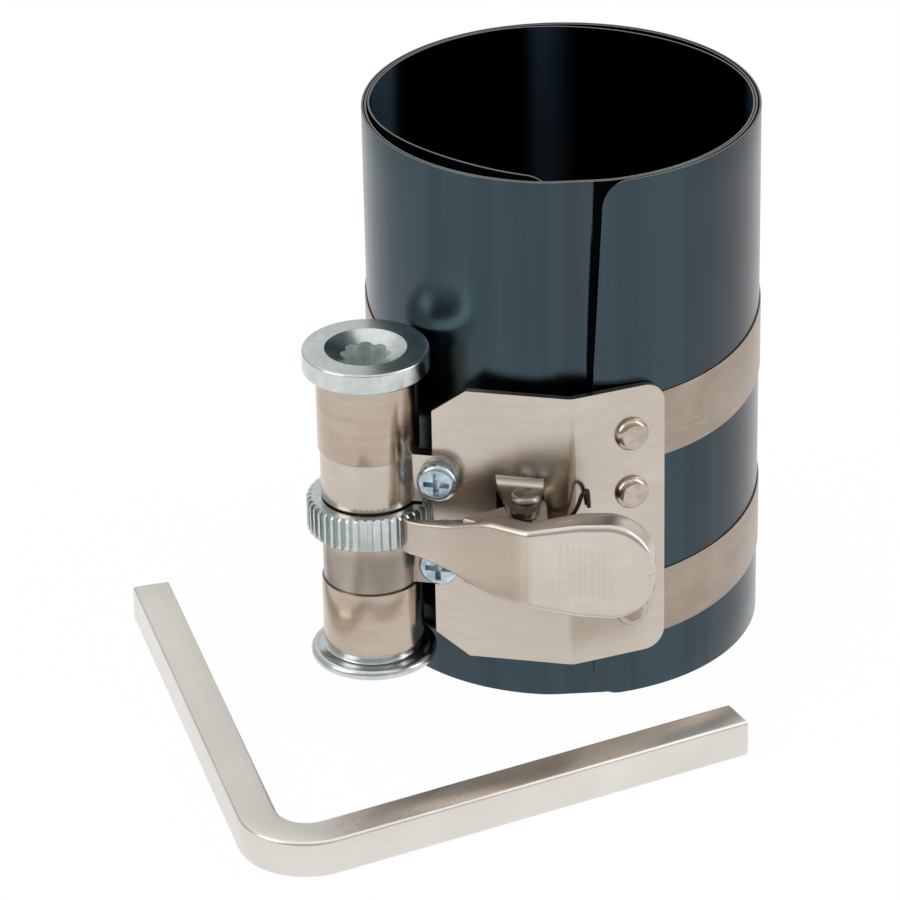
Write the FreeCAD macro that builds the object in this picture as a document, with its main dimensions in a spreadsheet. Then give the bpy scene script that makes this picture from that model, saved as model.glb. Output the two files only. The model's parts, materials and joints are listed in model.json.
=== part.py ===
"""Piston ring compressor: a coiled spring-steel sleeve that two bands squeeze round a piston.

The bands wind on a ratchet spindle that turns in two ears rolled from the base plate, and a
pressed pawl lever holds the ratchet until its pad is pushed.  A loose square key turns it.

Frame: the origin is on the sleeve's axis at its lower edge, +Z up, -Y towards the lever.
"Along" is measured from the plate's bend, "out" from the plate's outer face.
"""
import FreeCAD, Part
import math
import os
import Sketcher

Vector = FreeCAD.Vector
Placement = FreeCAD.Placement
Rotation = FreeCAD.Rotation
UP = Vector(0, 0, 1)

# Driving dimensions in millimetres, degrees or plain counts.
SIZES = {
    # Sleeve: a strip of spring steel wound into a spiral.
    "sleeve_height": 80.0,
    "sleeve_radius": 28.2,
    "sleeve_sheet": 0.3,
    "sleeve_turns": 2.967,
    "first_turn_drop": 0.55,
    "next_turn_drop": 0.38,
    "sleeve_end_azimuth": -82.0,
    "sleeve_corner": 3.6,
    "corner_margin": 0.1,
    "front_dip": 2.6,
    "front_dip_angle": 1034.5,
    "front_dip_spread": 59.0,
    "side_dip": 0.95,
    "side_dip_angle": 864.0,
    "side_dip_spread": 55.0,
    # Bands.
    "band_width": 9.8,
    "band_sheet": 0.2,
    "band_seat": 0.02,
    "upper_band_level": 45.9,
    "upper_band_tilt": 8.35,
    "upper_band_tilt_azimuth": 100.0,
    "lower_band_level": 16.2,
    "lower_band_tilt": 6.1,
    "lower_band_tilt_azimuth": 81.0,
    "band_end_angle": 3.0,
    # Base plate, bent along a vertical line.
    "plate_sheet": 1.0,
    "plate_height": 42.0,
    "plate_bottom": 7.2,
    "bend_x": 0.3,
    "bend_radius": 2.2,
    "left_yaw": 12.4,
    "right_yaw": 21.0,
    "left_length": 19.6,
    "right_length": 14.0,
    "left_corner_along": 4.8,
    "left_corner_high": 3.5,
    "right_corner": 3.0,
    "rivet_along": 9.0,
    "band_rivet_rise": 13.9,
    "sleeve_rivet_rise": 4.8,
    # Rivets.
    "rivet_shank": 1.25,
    "rivet_head_radius": 2.45,
    "rivet_head_high": 1.15,
    "rivet_tail_radius": 2.1,
    "rivet_tail_thick": 0.18,
    "hole_clearance": 0.03,
    # Spindle and what turns with it.
    "centre_height": 29.2,
    "spindle_along": 28.86,
    "spindle_out": -0.82,
    "shaft_radius": 5.72,
    "press_clearance": 0.02,
    "running_clearance": 0.08,
    "joint_gap": 0.2,
    "drum_collar": 1.5,
    "collar_radius": 6.4,
    "winding_radius": 7.2,
    "head_radius": 8.87,
    "head_thick": 2.9,
    "head_edge": 0.45,
    "mouth_radius": 5.77,
    "mouth_depth": 1.6,
    "end_flange_radius": 8.7,
    "end_flange_thick": 1.9,
    "end_flange_edge": 0.7,
    "shaft_tail": 0.6,
    "key_width": 5.5,
    "key_clearance": 0.12,
    "socket_depth": 11.0,
    # Ratchet wheel.
    "wheel_radius": 8.9,
    "wheel_thick": 5.0,
    "wheel_teeth": 44,
    "tooth_depth": 0.75,
    "tooth_land": 0.4,
    "gap_land": 0.7,
    "gap_start": 0.02,
    "wheel_edge": 0.35,
    # Rolled ears.
    "ear_low": 2.8,
    "ear_high": 10.1,
    "ear_throat": 0.5,
    "fold_gap": 0.05,
    "tab_tip_along": 15.6,
    "tab_tip_round": 3.3,
    # Screws and nuts of the ears.
    "screw_along": 18.5,
    "screw_rise": 6.6,
    "screw_radius": 1.5,
    "screw_head_radius": 2.9,
    "screw_head_high": 2.0,
    "screw_head_edge": 0.9,
    "recess_span": 3.6,
    "recess_slot": 0.75,
    "recess_depth": 1.2,
    "nut_flats": 5.5,
    "nut_high": 2.4,
    "screw_tip": 0.4,
    # Lugs that carry the pawl pin.
    "lug_top": 6.2,
    "lug_sheet": 1.0,
    "lug_root_near": 3.9,
    "lug_root_far": 10.7,
    "lug_tip_near": 3.6,
    "lug_tip_far": 6.9,
    "lug_reach": 8.2,
    "lug_root_round": 1.3,
    "lug_tip_round": 1.2,
    "window_margin": 0.3,
    # Pawl pin.
    "pin_along": 5.72,
    "pin_out": 3.85,
    "pin_radius": 1.25,
    "pin_head_radius": 2.1,
    "pin_head_high": 0.85,
    # Pawl lever, pressed as a channel.
    "lever_sheet": 1.0,
    "lever_tip_gap": 0.15,
    "lever_tip_azimuth": -60.0,
    "lever_nose": 0.3,
    "lever_nose_length": 1.3,
    "lever_tip_high": 5.3,
    "lever_neck_high": 7.2,
    "lever_shoulder_high": 11.4,
    "lever_pad_high": 14.4,
    "lever_ear_radius": 2.95,
    "lever_bend_left": 0.1,
    "lever_bend_out": 9.2,
    "lever_flange_deep": 3.6,
    "lever_waist": 9.5,
    "lever_flange_past_bend": 3.4,
    "pad_reach": 18.1,
    "pad_out": 8.2,
    "lever_wheel_room": 1.1,
    "pad_end_round": 6.6,
    "pad_ribs": 8,
    "pad_rib_pitch": 0.9,
    "pad_rib_high": 8.4,
    "pad_rib_proud": 0.15,
    "pad_rib_wide": 0.45,
    "pad_rib_start": 4.6,
    # Pawl spring.
    "spring_wire": 0.6,
    "spring_radius": 1.95,
    "spring_coils": 4.0,
    "spring_pitch": 0.75,
    "spring_leg_plate": 3.2,
    "spring_leg_lever": 7.7,
    # Loose key.
    "key_long_arm": 74.3,
    "key_short_arm": 71.7,
    "key_bend_angle": 79.3,
    "key_bend_radius": 5.0,
    "key_edge": 0.45,
    "key_x": -41.2,
    "key_y": -74.3,
    "key_yaw": 26.3,
}


def make_sheet(doc):
    """Put every driving dimension in a spreadsheet, one alias to a row."""
    sheet = doc.addObject("Spreadsheet::Sheet", "dim")
    for row, (alias, value) in enumerate(SIZES.items(), start=1):
        sheet.set(f"A{row}", alias)
        sheet.set(f"B{row}", str(value))
        sheet.setAlias(f"B{row}", alias)
    doc.recompute()
    return sheet


doc = FreeCAD.newDocument("ring_compressor")
sheet = make_sheet(doc)


def size(alias):
    """Read one driving dimension from the spreadsheet."""
    return float(sheet.get(alias))


# Helpers for bodies made of sketches and features.

def new_body(label, placement=None):
    body = doc.addObject("PartDesign::Body", label)
    body.Label = label
    if placement is not None:
        body.Placement = placement
    return body


def origin_plane(body, role):
    return next(item for item in body.Origin.OriginFeatures if item.Role == role)


def new_sketch(body, role, name, level="0", turn=0.0):
    """Attach a sketch to an origin plane, raised by level and turned about the plane's own Y."""
    sketch = body.newObject("Sketcher::SketchObject", name)
    sketch.AttachmentSupport = (origin_plane(body, role), [""])
    sketch.MapMode = "FlatFace"
    sketch.AttachmentOffset = Placement(Vector(), Rotation(Vector(0, 1, 0), turn))
    sketch.setExpression(".AttachmentOffset.Base.z", level)
    return sketch


def bind(sketch, kind, name, place, expression):
    """Add one dimension to a sketch and bind it to an expression."""
    index = sketch.addConstraint(Sketcher.Constraint(kind, *place, 1.0))
    sketch.renameConstraint(index, name)
    sketch.setExpression(f"Constraints.{name}", expression)


def outline(body, role, name, corners, level="0", turn=0.0):
    """Draw a closed outline whose corners are pairs of expressions."""
    sketch = new_sketch(body, role, name, level, turn)
    count = len(corners)
    step = 2 * math.pi / count
    start = [Vector(math.cos(step * i), math.sin(step * i), 0) for i in range(count)]
    for i in range(count):
        sketch.addGeometry(Part.LineSegment(start[i], start[(i + 1) % count]))
    for i in range(count):
        sketch.addConstraint(Sketcher.Constraint("Coincident", i, 2, (i + 1) % count, 1))
    for i, (across, upward) in enumerate(corners):
        bind(sketch, "DistanceX", f"across{i}", (-1, 1, i, 1), across)
        bind(sketch, "DistanceY", f"upward{i}", (-1, 1, i, 1), upward)
    return sketch


def circles(body, role, name, rounds, level="0", turn=0.0):
    """Draw circles given as expressions for centre and radius."""
    sketch = new_sketch(body, role, name, level, turn)
    for i, (across, upward, radius) in enumerate(rounds):
        sketch.addGeometry(Part.Circle(Vector(2.0 * i, i, 0), UP, 1.0))
        bind(sketch, "DistanceX", f"across{i}", (-1, 1, i, 3), across)
        bind(sketch, "DistanceY", f"upward{i}", (-1, 1, i, 3), upward)
        bind(sketch, "Radius", f"radius{i}", (i,), radius)
    return sketch


def pad(body, sketch, length, backwards=False, both_ways=False):
    feature = body.newObject("PartDesign::Pad", f"{sketch.Name}_pad")
    feature.Profile = sketch
    feature.Reversed = backwards
    feature.Midplane = both_ways
    feature.setExpression("Length", length)
    doc.recompute()
    return feature


def pocket(body, sketch, length, backwards=False, both_ways=False):
    """Cut a pocket and make sure that it took something away."""
    before = body.Shape.Volume
    feature = body.newObject("PartDesign::Pocket", f"{sketch.Name}_pocket")
    feature.Profile = sketch
    feature.Reversed = backwards
    feature.Midplane = both_ways
    feature.setExpression("Length", length)
    doc.recompute()
    if not body.Shape.Volume < before:
        raise RuntimeError(f"{feature.Name} cuts nothing")
    return feature


def revolve(body, sketch, axis="V_Axis"):
    feature = body.newObject("PartDesign::Revolution", f"{sketch.Name}_turned")
    feature.Profile = sketch
    feature.ReferenceAxis = (sketch, [axis])
    feature.Angle = 360
    doc.recompute()
    return feature


def edge_names(shape, wanted):
    return [f"Edge{i + 1}" for i, edge in enumerate(shape.Edges) if wanted(edge)]


def round_edges(body, name, wanted, radius):
    """Fillet the edges that a test picks."""
    base = body.Tip
    feature = body.newObject("PartDesign::Fillet", name)
    feature.Base = (base, edge_names(base.Shape, wanted))
    feature.setExpression("Radius", radius)
    doc.recompute()
    return feature


def is_straight(edge, direction):
    """Tell whether an edge is a straight line along a direction."""
    if edge.Curve.TypeId != "Part::GeomLine":
        return False
    return abs(abs(edge.tangentAt(edge.FirstParameter).dot(direction)) - 1) < 1e-6


def is_round(edge, radius, level=None):
    """Tell whether an edge is a circle of a radius, at a height if one is given."""
    if edge.Curve.TypeId != "Part::GeomCircle" or abs(edge.Curve.Radius - radius) > 1e-4:
        return False
    return level is None or abs(edge.Curve.Center.z - level) < 1e-4


def set_shape(label, shape, placement=None):
    """Make a sub-part from a finished shape, moved to its place if one is given."""
    feature = doc.addObject("Part::Feature", label)
    feature.Label = label
    feature.Shape = shape
    feature.Placement = placement or Placement()
    return feature


# Places in plan that several pieces share.

LEFT = math.radians(size("left_yaw"))
RIGHT = math.radians(size("right_yaw"))
CENTRE = size("centre_height")


def spot(point, z=0.0):
    return Vector(point[0], point[1], z)


def plate_face_distance():
    """Distance from the sleeve's axis to the outer face of the plate's right part."""
    under_plate = size("band_sheet") + 2 * size("band_seat")
    return size("sleeve_radius") + under_plate + size("plate_sheet")


def bend_point():
    """The plate's bend line in plan, on the outer face of the right part."""
    x = size("bend_x")
    y = (x * math.sin(RIGHT) - plate_face_distance()) / math.cos(RIGHT)
    return x, y


def on_left_part(along, out):
    """Plan point at a distance along the plate's left part and out from its face."""
    x, y = bend_point()
    return (
        x - along * math.cos(LEFT) - out * math.sin(LEFT),
        y + along * math.sin(LEFT) - out * math.cos(LEFT),
    )


def on_right_part(along, out):
    """Plan point at a distance along the plate's right part and out from its face."""
    x, y = bend_point()
    return (
        x + along * math.cos(RIGHT) + out * math.sin(RIGHT),
        y + along * math.sin(RIGHT) - out * math.cos(RIGHT),
    )


SPINDLE = on_left_part(size("spindle_along"), size("spindle_out"))
PIN = on_left_part(size("pin_along"), size("pin_out"))
PLATE_PLACE = Placement(spot(bend_point(), CENTRE), Rotation(UP, -size("left_yaw")))
SPINDLE_PLACE = Placement(spot(SPINDLE, CENTRE), Rotation())


# Sleeve.

def sleeve_radius(angle):
    """Radius of the strip's middle, by the angle wound from its outer end in degrees."""
    turns = angle / 360.0
    drop = size("first_turn_drop") * min(turns, 1.0) + size("next_turn_drop") * max(turns - 1.0, 0.0)
    radius = size("sleeve_radius") - size("sleeve_sheet") / 2 - drop
    for dip in ("front_dip", "side_dip"):
        offset = (angle - size(f"{dip}_angle")) / size(f"{dip}_spread")
        if abs(offset) < 1:
            radius -= size(dip) * math.cos(offset * math.pi / 2) ** 2
    return radius


def sleeve_point(angle, offset=0.0, z=0.0):
    azimuth = math.radians(size("sleeve_end_azimuth") + angle)
    radius = sleeve_radius(angle) + offset
    return Vector(radius * math.cos(azimuth), radius * math.sin(azimuth), z)


def sleeve_curve(first, last, offset, z=0.0, step=9.0):
    """Smooth curve along the strip between two angles."""
    count = max(int(math.ceil((last - first) / step)), 3)
    angles = [first + (last - first) * i / count for i in range(count + 1)]
    curve = Part.BSplineCurve()
    curve.interpolate([sleeve_point(angle, offset, z) for angle in angles])
    return curve.toShape()


def layer_solid(first, last, inner, outer, bottom, top):
    """Solid that follows the strip between two angles and two offsets from its middle."""
    inside = sleeve_curve(first, last, inner, bottom)
    outside = sleeve_curve(first, last, outer, bottom)
    ends = [
        Part.makeLine(sleeve_point(angle, inner, bottom), sleeve_point(angle, outer, bottom))
        for angle in (first, last)
    ]
    wire = Part.Wire([ends[0], outside, ends[1], inside])
    return Part.Face(wire).extrude(Vector(0, 0, top - bottom))


def sleeve_corner_tool(end, inward, side):
    """What to cut off to round one corner of the strip; side is +1 for an upper corner."""
    corner = size("sleeve_corner")
    thick = size("sleeve_sheet") + 2 * size("corner_margin")
    block = Part.makeBox(2 * corner, thick, 2 * corner, Vector(0, -thick / 2, 0))
    tool = block.cut(Part.makeCylinder(corner, 2 * thick, Vector(0, -thick, 0), Vector(0, 1, 0)))
    middle = end + inward * math.degrees(corner / 2 / sleeve_radius(end))
    azimuth = math.radians(size("sleeve_end_azimuth") + middle)
    toward_end = Vector(math.sin(azimuth), -math.cos(azimuth), 0) * inward
    upward = UP * side
    height = size("sleeve_height") - corner if side > 0 else corner
    centre = sleeve_point(middle, 0, height) - toward_end * (corner / 2)
    tool.Placement = Placement(centre, Rotation(toward_end, upward.cross(toward_end), upward))
    return tool


def make_sleeve():
    """The spiral strip, with rounded corners and the four rivet holes."""
    half = size("sleeve_sheet") / 2
    height = size("sleeve_height")
    last = 360 * size("sleeve_turns")
    sleeve = layer_solid(0, last, -half, half, 0, height)
    for name, (_, z) in RIVETS.items():
        tool = rivet_rod(z, size("rivet_shank") + size("hole_clearance"), 0, 4 * size("sleeve_sheet"))
        sleeve = sleeve.cut(tool)
    for end, inward in ((0, 1), (last, -1)):
        for side in (1, -1):
            sleeve = sleeve.cut(sleeve_corner_tool(end, inward, side))
    return set_shape("sleeve", sleeve)


# Bands.

def band_level(name, x, y):
    """Height of a band's middle at a plan point, on a plane that leans as the band does."""
    lean = math.tan(math.radians(size(f"{name}_tilt")))
    azimuth = math.radians(size(f"{name}_tilt_azimuth"))
    return size(f"{name}_level") + lean * (x * math.cos(azimuth) + y * math.sin(azimuth))


def drum_level(side):
    """Height of the middle of a winding; side is +1 for the upper one."""
    return CENTRE + side * (size("ear_high") + size("joint_gap") + size("band_width") / 2)


def band_exit():
    """Angle where the bands leave the sleeve for the drum, by the line that crosses between."""
    reach = math.hypot(*SPINDLE)
    drum = size("winding_radius") + size("joint_gap") / 2
    toward = math.degrees(math.atan2(SPINDLE[1], SPINDLE[0])) % 360
    angle = 200.0
    for _ in range(20):
        around = sleeve_radius(angle) + size("sleeve_sheet") / 2 + size("band_seat")
        opening = math.degrees(math.acos((around + drum) / reach))
        angle = toward - opening - size("sleeve_end_azimuth")
    return angle


def make_band(label, side):
    """One band from the rivet under the plate round the sleeve to the drum."""
    width = size("band_width")
    half_sheet = size("sleeve_sheet") / 2
    inner = half_sheet + size("band_seat")
    outer = inner + size("band_sheet")
    leave = band_exit()
    wrap = layer_solid(size("band_end_angle"), leave, inner, outer, 0, size("sleeve_height"))
    tilt = size(f"{label}_tilt")
    azimuth = size(f"{label}_tilt_azimuth")
    reach = 3 * size("sleeve_radius")
    slab = Part.makeBox(reach, reach, width, Vector(-reach / 2, -reach / 2, -width / 2))
    turn = Rotation(UP, azimuth).multiply(Rotation(Vector(0, 1, 0), -tilt))
    slab.Placement = Placement(Vector(0, 0, size(f"{label}_level")), turn)
    wrap = wrap.common(slab)
    half_high = width / 2 / math.cos(math.radians(tilt))
    toward = math.radians(size("sleeve_end_azimuth") + leave)
    radial = Vector(math.cos(toward), math.sin(toward), 0)
    drum = size("winding_radius") + size("joint_gap") / 2
    sections = []
    for centre, radii, facing in (
        (Vector(), (sleeve_radius(leave) + inner, sleeve_radius(leave) + outer), 1),
        (spot(SPINDLE), (drum + size("band_sheet"), drum), -1),
    ):
        corners = []
        for radius, rise in ((radii[0], -1), (radii[1], -1), (radii[1], 1), (radii[0], 1)):
            point = centre + radial * (facing * radius)
            if facing == 1:
                point.z = band_level(label, point.x, point.y) + rise * half_high
            else:
                point.z = drum_level(side) + rise * width / 2
            corners.append(point)
        sections.append(Part.makePolygon(corners + corners[:1]))
    run = Part.makeLoft(sections, True, True)
    band = wrap.fuse(run).removeSplitter()
    rod = rivet_rod(RIVETS[f"{label}_rivet"][1], size("rivet_shank") + size("hole_clearance"), 0, 3)
    return set_shape(label, band.cut(rod))


# Rivets through the plate's right part.

PLATE_MIDDLE = size("plate_bottom") + size("plate_height") / 2
RIVETS = {
    "upper_band_rivet": (1, PLATE_MIDDLE + size("band_rivet_rise")),
    "upper_sleeve_rivet": (1, PLATE_MIDDLE + size("sleeve_rivet_rise")),
    "lower_sleeve_rivet": (-1, PLATE_MIDDLE - size("sleeve_rivet_rise")),
    "lower_band_rivet": (-1, PLATE_MIDDLE - size("band_rivet_rise")),
}


def rivet_rod(z, radius, out, depth):
    """Cylinder through the rivet's place, from a height out of the plate's face inwards."""
    start = spot(on_right_part(size("rivet_along"), out), z)
    inward = spot(on_right_part(0, -1)) - spot(on_right_part(0, 0))
    return Part.makeCylinder(radius, depth + out + plate_depth(), start, inward)


def plate_depth():
    """From the plate's outer face to the sleeve's outer face, with the band between."""
    return plate_face_distance() - size("sleeve_radius")


def make_rivet(label, z):
    """A rivet with a domed head and a flat tail spread inside the sleeve's outer layer."""
    half = size("sleeve_sheet") / 2
    shank = rivet_rod(z, size("rivet_shank"), 0, 3 * size("sleeve_sheet"))
    layer = layer_solid(-1, 40, -half - size("rivet_tail_thick"), -half, z - 5, z + 5)
    above = layer_solid(-1, 40, -half - size("rivet_tail_thick") / 2, 4, z - 5, z + 5)
    shank = shank.common(above)
    tail = rivet_rod(z, size("rivet_tail_radius"), 0, 4 * size("sleeve_sheet")).common(layer)
    start = spot(on_right_part(size("rivet_along"), 0), z)
    outward = spot(on_right_part(0, 1)) - spot(on_right_part(0, 0))
    head = Part.makeCylinder(size("rivet_head_radius"), size("rivet_head_high"), start, outward)
    rim = [
        edge for edge in head.Edges
        if edge.Curve.TypeId == "Part::GeomCircle" and (edge.Curve.Center - start).Length > 0.01
    ]
    head = head.makeFillet(size("rivet_head_high") * 0.92, rim)
    return set_shape(label, head.fuse([shank, tail]))


# Base plate.

def make_base_plate():
    """The bent plate with its rolled ears, lugs and holes; +X runs along the left part."""
    body = new_body("base_plate", PLATE_PLACE)
    fold = size("left_yaw") + size("right_yaw")
    cos_fold = math.cos(math.radians(fold))
    sin_fold = math.sin(math.radians(fold))
    mitre = "dim.plate_sheet * tan((dim.left_yaw + dim.right_yaw) / 2)"
    bottom = "dim.plate_bottom - dim.centre_height"
    cos_text = "cos(dim.left_yaw + dim.right_yaw)"
    sin_text = "sin(dim.left_yaw + dim.right_yaw)"
    strip = outline(body, "XY_Plane", "strip", [
        ("-dim.left_length", "0"),
        ("0", "0"),
        (f"dim.right_length * {cos_text}", f"dim.right_length * {sin_text}"),
        (
            f"dim.right_length * {cos_text} - dim.plate_sheet * {sin_text}",
            f"dim.right_length * {sin_text} + dim.plate_sheet * {cos_text}",
        ),
        (f"-{mitre}", "dim.plate_sheet"),
        ("-dim.left_length", "dim.plate_sheet"),
    ], level=bottom)
    pad(body, strip, "dim.plate_height")
    upright = Vector(0, 0, 1)
    round_edges(
        body, "outer_bend",
        lambda edge: is_straight(edge, upright) and edge.CenterOfMass.y < 1e-6
        and abs(edge.CenterOfMass.x) < 1e-6,
        "dim.bend_radius",
    )
    inner_x = -size("plate_sheet") * math.tan(math.radians(fold / 2))
    round_edges(
        body, "inner_bend",
        lambda edge: is_straight(edge, upright) and abs(edge.CenterOfMass.x - inner_x) < 1e-5,
        "dim.bend_radius - dim.plate_sheet",
    )
    across = Vector(-sin_fold, cos_fold, 0)
    far = size("right_length") * cos_fold - size("plate_sheet") * sin_fold - 1e-4
    round_edges(
        body, "right_corners",
        lambda edge: is_straight(edge, across) and edge.CenterOfMass.x > far
        and edge.Length < 1.01 * size("plate_sheet"),
        "dim.right_corner",
    )
    left = "-dim.left_length"
    inset = "dim.left_corner_along - dim.left_length"
    for name, level, slope in (("lower", bottom, "+"), ("upper", f"{bottom} + dim.plate_height", "-")):
        corner = outline(body, "XZ_Plane", f"{name}_corner", [
            (left, level),
            (inset, level),
            (left, f"{level} {slope} dim.left_corner_high"),
        ])
        pocket(body, corner, "4 * dim.plate_sheet", both_ways=True)
    make_lugs(body)
    make_ears(body)
    make_rivet_holes(body)
    return body


def make_lugs(body):
    """Window in the plate and the two lugs turned out above and below it."""
    near = "-dim.lug_root_near"
    far = "-dim.lug_root_far"
    half = "(dim.lug_top - dim.lug_sheet - dim.window_margin)"
    window = outline(body, "XZ_Plane", "window", [
        (near, f"-{half}"), (far, f"-{half}"), (far, half), (near, half),
    ])
    pocket(body, window, "4 * dim.plate_sheet", both_ways=True)
    levels = {"upper": "dim.lug_top - dim.lug_sheet", "lower": "-dim.lug_top"}
    tops = {"upper": size("lug_top"), "lower": -size("lug_top")}
    for name, level in levels.items():
        lug = outline(body, "XY_Plane", f"{name}_lug", [
            (far, "dim.plate_sheet / 2"),
            (far, "0"),
            ("-dim.lug_tip_far", "-dim.lug_reach"),
            ("-dim.lug_tip_near", "-dim.lug_reach"),
            (near, "0"),
            (near, "dim.plate_sheet / 2"),
        ], level=level)
        pad(body, lug, "dim.lug_sheet")
        round_edges(
            body, f"{name}_lug_tip",
            lambda edge: is_straight(edge, UP) and abs(edge.CenterOfMass.y + size("lug_reach")) < 1e-5,
            "dim.lug_tip_round",
        )
        round_edges(
            body, f"{name}_lug_root",
            lambda edge: is_straight(edge, Vector(1, 0, 0)) and abs(edge.CenterOfMass.y) < 1e-5
            and abs(edge.CenterOfMass.z - tops[name]) < 1e-5,
            "dim.lug_root_round",
        )
    holes = circles(body, "XY_Plane", "pin_holes", [
        ("-dim.pin_along", "-dim.pin_out", "dim.pin_radius + dim.press_clearance"),
    ])
    pocket(body, holes, "4 * dim.lug_top", both_ways=True)


def make_ears(body):
    """Two bearing ears: a tongue rolled round the spindle and folded back as a tab."""
    ring = "dim.shaft_radius + dim.running_clearance"
    height = "dim.ear_high - dim.ear_low"
    centre = ("-dim.spindle_along", "-dim.spindle_out")
    outer = size("shaft_radius") + size("running_clearance") + size("plate_sheet")
    for name, level, rise in (("upper", "dim.ear_low", 1), ("lower", "-dim.ear_high", -1)):
        loop = circles(body, "XY_Plane", f"{name}_ear", [(*centre, f"{ring} + dim.plate_sheet")], level)
        pad(body, loop, height)
        tab = outline(body, "XY_Plane", f"{name}_tab", [
            ("-dim.tab_tip_along", "-dim.fold_gap"),
            ("-dim.tab_tip_along", "-dim.fold_gap - dim.plate_sheet"),
            ("-dim.spindle_along", "-dim.fold_gap - dim.plate_sheet"),
            ("-dim.spindle_along", "-dim.fold_gap"),
        ], level)
        pad(body, tab, height)
        tongue = outline(body, "XY_Plane", f"{name}_tongue", [
            ("dim.left_corner_along - dim.left_length", "0"),
            ("dim.left_corner_along - dim.left_length", "dim.plate_sheet"),
            ("-dim.spindle_along", "dim.plate_sheet"),
            ("-dim.spindle_along", "0"),
        ], level)
        pad(body, tongue, height)
        axis_x = -size("spindle_along")
        axis_y = -size("spindle_out")
        middle = rise * (size("ear_low") + size("ear_high")) / 2
        round_edges(
            body, f"{name}_throat",
            lambda edge: is_straight(edge, UP) and abs(edge.CenterOfMass.z - middle) < 0.5
            and abs(math.hypot(edge.CenterOfMass.x - axis_x, edge.CenterOfMass.y - axis_y) - outer) < 1e-4
            and (edge.CenterOfMass.y > size("plate_sheet") - 1e-4
                 or edge.CenterOfMass.y < -size("plate_sheet")),
            "dim.ear_throat",
        )
        round_edges(
            body, f"{name}_tab_tip",
            lambda edge: is_straight(edge, Vector(0, 1, 0)) and edge.CenterOfMass.z * rise > 0
            and abs(edge.CenterOfMass.x + size("tab_tip_along")) < 1e-5,
            "dim.tab_tip_round",
        )
        bore = circles(body, "XY_Plane", f"{name}_bore", [(*centre, ring)], level)
        pocket(body, bore, height, backwards=True)
        slit = outline(body, "XY_Plane", f"{name}_slit", [
            ("-dim.spindle_along", "-dim.fold_gap"),
            ("-dim.left_length - dim.plate_sheet", "-dim.fold_gap"),
            ("-dim.left_length - dim.plate_sheet", "0"),
            ("-dim.spindle_along", "0"),
        ], level)
        pocket(body, slit, height, backwards=True)
    screws = circles(body, "XZ_Plane", "screw_holes", [
        ("-dim.screw_along", "dim.screw_rise", "dim.screw_radius + dim.hole_clearance"),
        ("-dim.screw_along", "-dim.screw_rise", "dim.screw_radius + dim.hole_clearance"),
    ])
    pocket(body, screws, "6 * dim.plate_sheet", both_ways=True)


def make_rivet_holes(body):
    """Holes for the four rivets, square to the plate's right part."""
    middle = "dim.plate_bottom + dim.plate_height / 2 - dim.centre_height"
    rises = ("dim.band_rivet_rise", "dim.sleeve_rivet_rise")
    rounds = [
        ("dim.rivet_along", f"{middle} {sign} {rise}", "dim.rivet_shank + dim.hole_clearance")
        for rise in rises for sign in ("+", "-")
    ]
    holes = circles(body, "XZ_Plane", "rivet_holes", rounds, turn=size("left_yaw") + size("right_yaw"))
    pocket(body, holes, "6 * dim.plate_sheet", both_ways=True)


# Spindle and what is fixed on it.  The body's own origin is at the middle of the ratchet wheel.

STACK = "(dim.ear_high + dim.joint_gap + dim.band_width + dim.drum_collar)"


def make_spindle():
    """Shaft, collar and head flange in one, with a countersunk double-square socket."""
    body = new_body("spindle", SPINDLE_PLACE)
    top = f"({STACK} + dim.head_thick)"
    low = f"(-{STACK} - dim.end_flange_thick - dim.shaft_tail)"
    profile = outline(body, "XZ_Plane", "profile", [
        ("0", low),
        ("dim.shaft_radius - dim.shaft_tail", low),
        ("dim.shaft_radius", f"{low} + dim.shaft_tail"),
        ("dim.shaft_radius", f"{STACK} - dim.drum_collar"),
        ("dim.collar_radius", f"{STACK} - dim.drum_collar"),
        ("dim.collar_radius", STACK),
        ("dim.head_radius - dim.head_edge", STACK),
        ("dim.head_radius", f"{STACK} + dim.head_edge"),
        ("dim.head_radius", f"{top} - dim.head_edge"),
        ("dim.head_radius - dim.head_edge", top),
        ("dim.mouth_radius", top),
        ("dim.mouth_radius - dim.mouth_depth", f"{top} - dim.mouth_depth"),
        ("0", f"{top} - dim.mouth_depth"),
    ])
    revolve(body, profile)
    half = "((dim.key_width + dim.key_clearance) / 2)"
    for index, turn in enumerate((0, 45)):
        square = outline(body, "XY_Plane", f"square{index}", [
            (f"{half} * ({sx} * {math.cos(math.radians(turn)):.9f} - {sy} * {math.sin(math.radians(turn)):.9f})",
             f"{half} * ({sx} * {math.sin(math.radians(turn)):.9f} + {sy} * {math.cos(math.radians(turn)):.9f})")
            for sx, sy in ((-1, -1), (1, -1), (1, 1), (-1, 1))
        ], level=f"{top} - dim.mouth_depth - dim.socket_depth")
        pocket(body, square, "dim.socket_depth + dim.mouth_depth", backwards=True)
    return body


def ring_body(label, placement, radius, inner, bottom, thick, edge=None):
    """Turned ring with an optional bevel on its outer edges."""
    body = new_body(label, placement)
    corners = [(inner, bottom)]
    if edge is None:
        corners += [(radius, bottom), (radius, f"{bottom} + {thick}")]
    else:
        corners += [
            (f"{radius} - {edge}", bottom),
            (radius, f"{bottom} + {edge}"),
            (radius, f"{bottom} + {thick} - {edge}"),
            (f"{radius} - {edge}", f"{bottom} + {thick}"),
        ]
    corners.append((inner, f"{bottom} + {thick}"))
    revolve(body, outline(body, "XZ_Plane", f"{label}_profile", corners))
    return body


FITTED = "dim.shaft_radius + dim.press_clearance"


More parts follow.
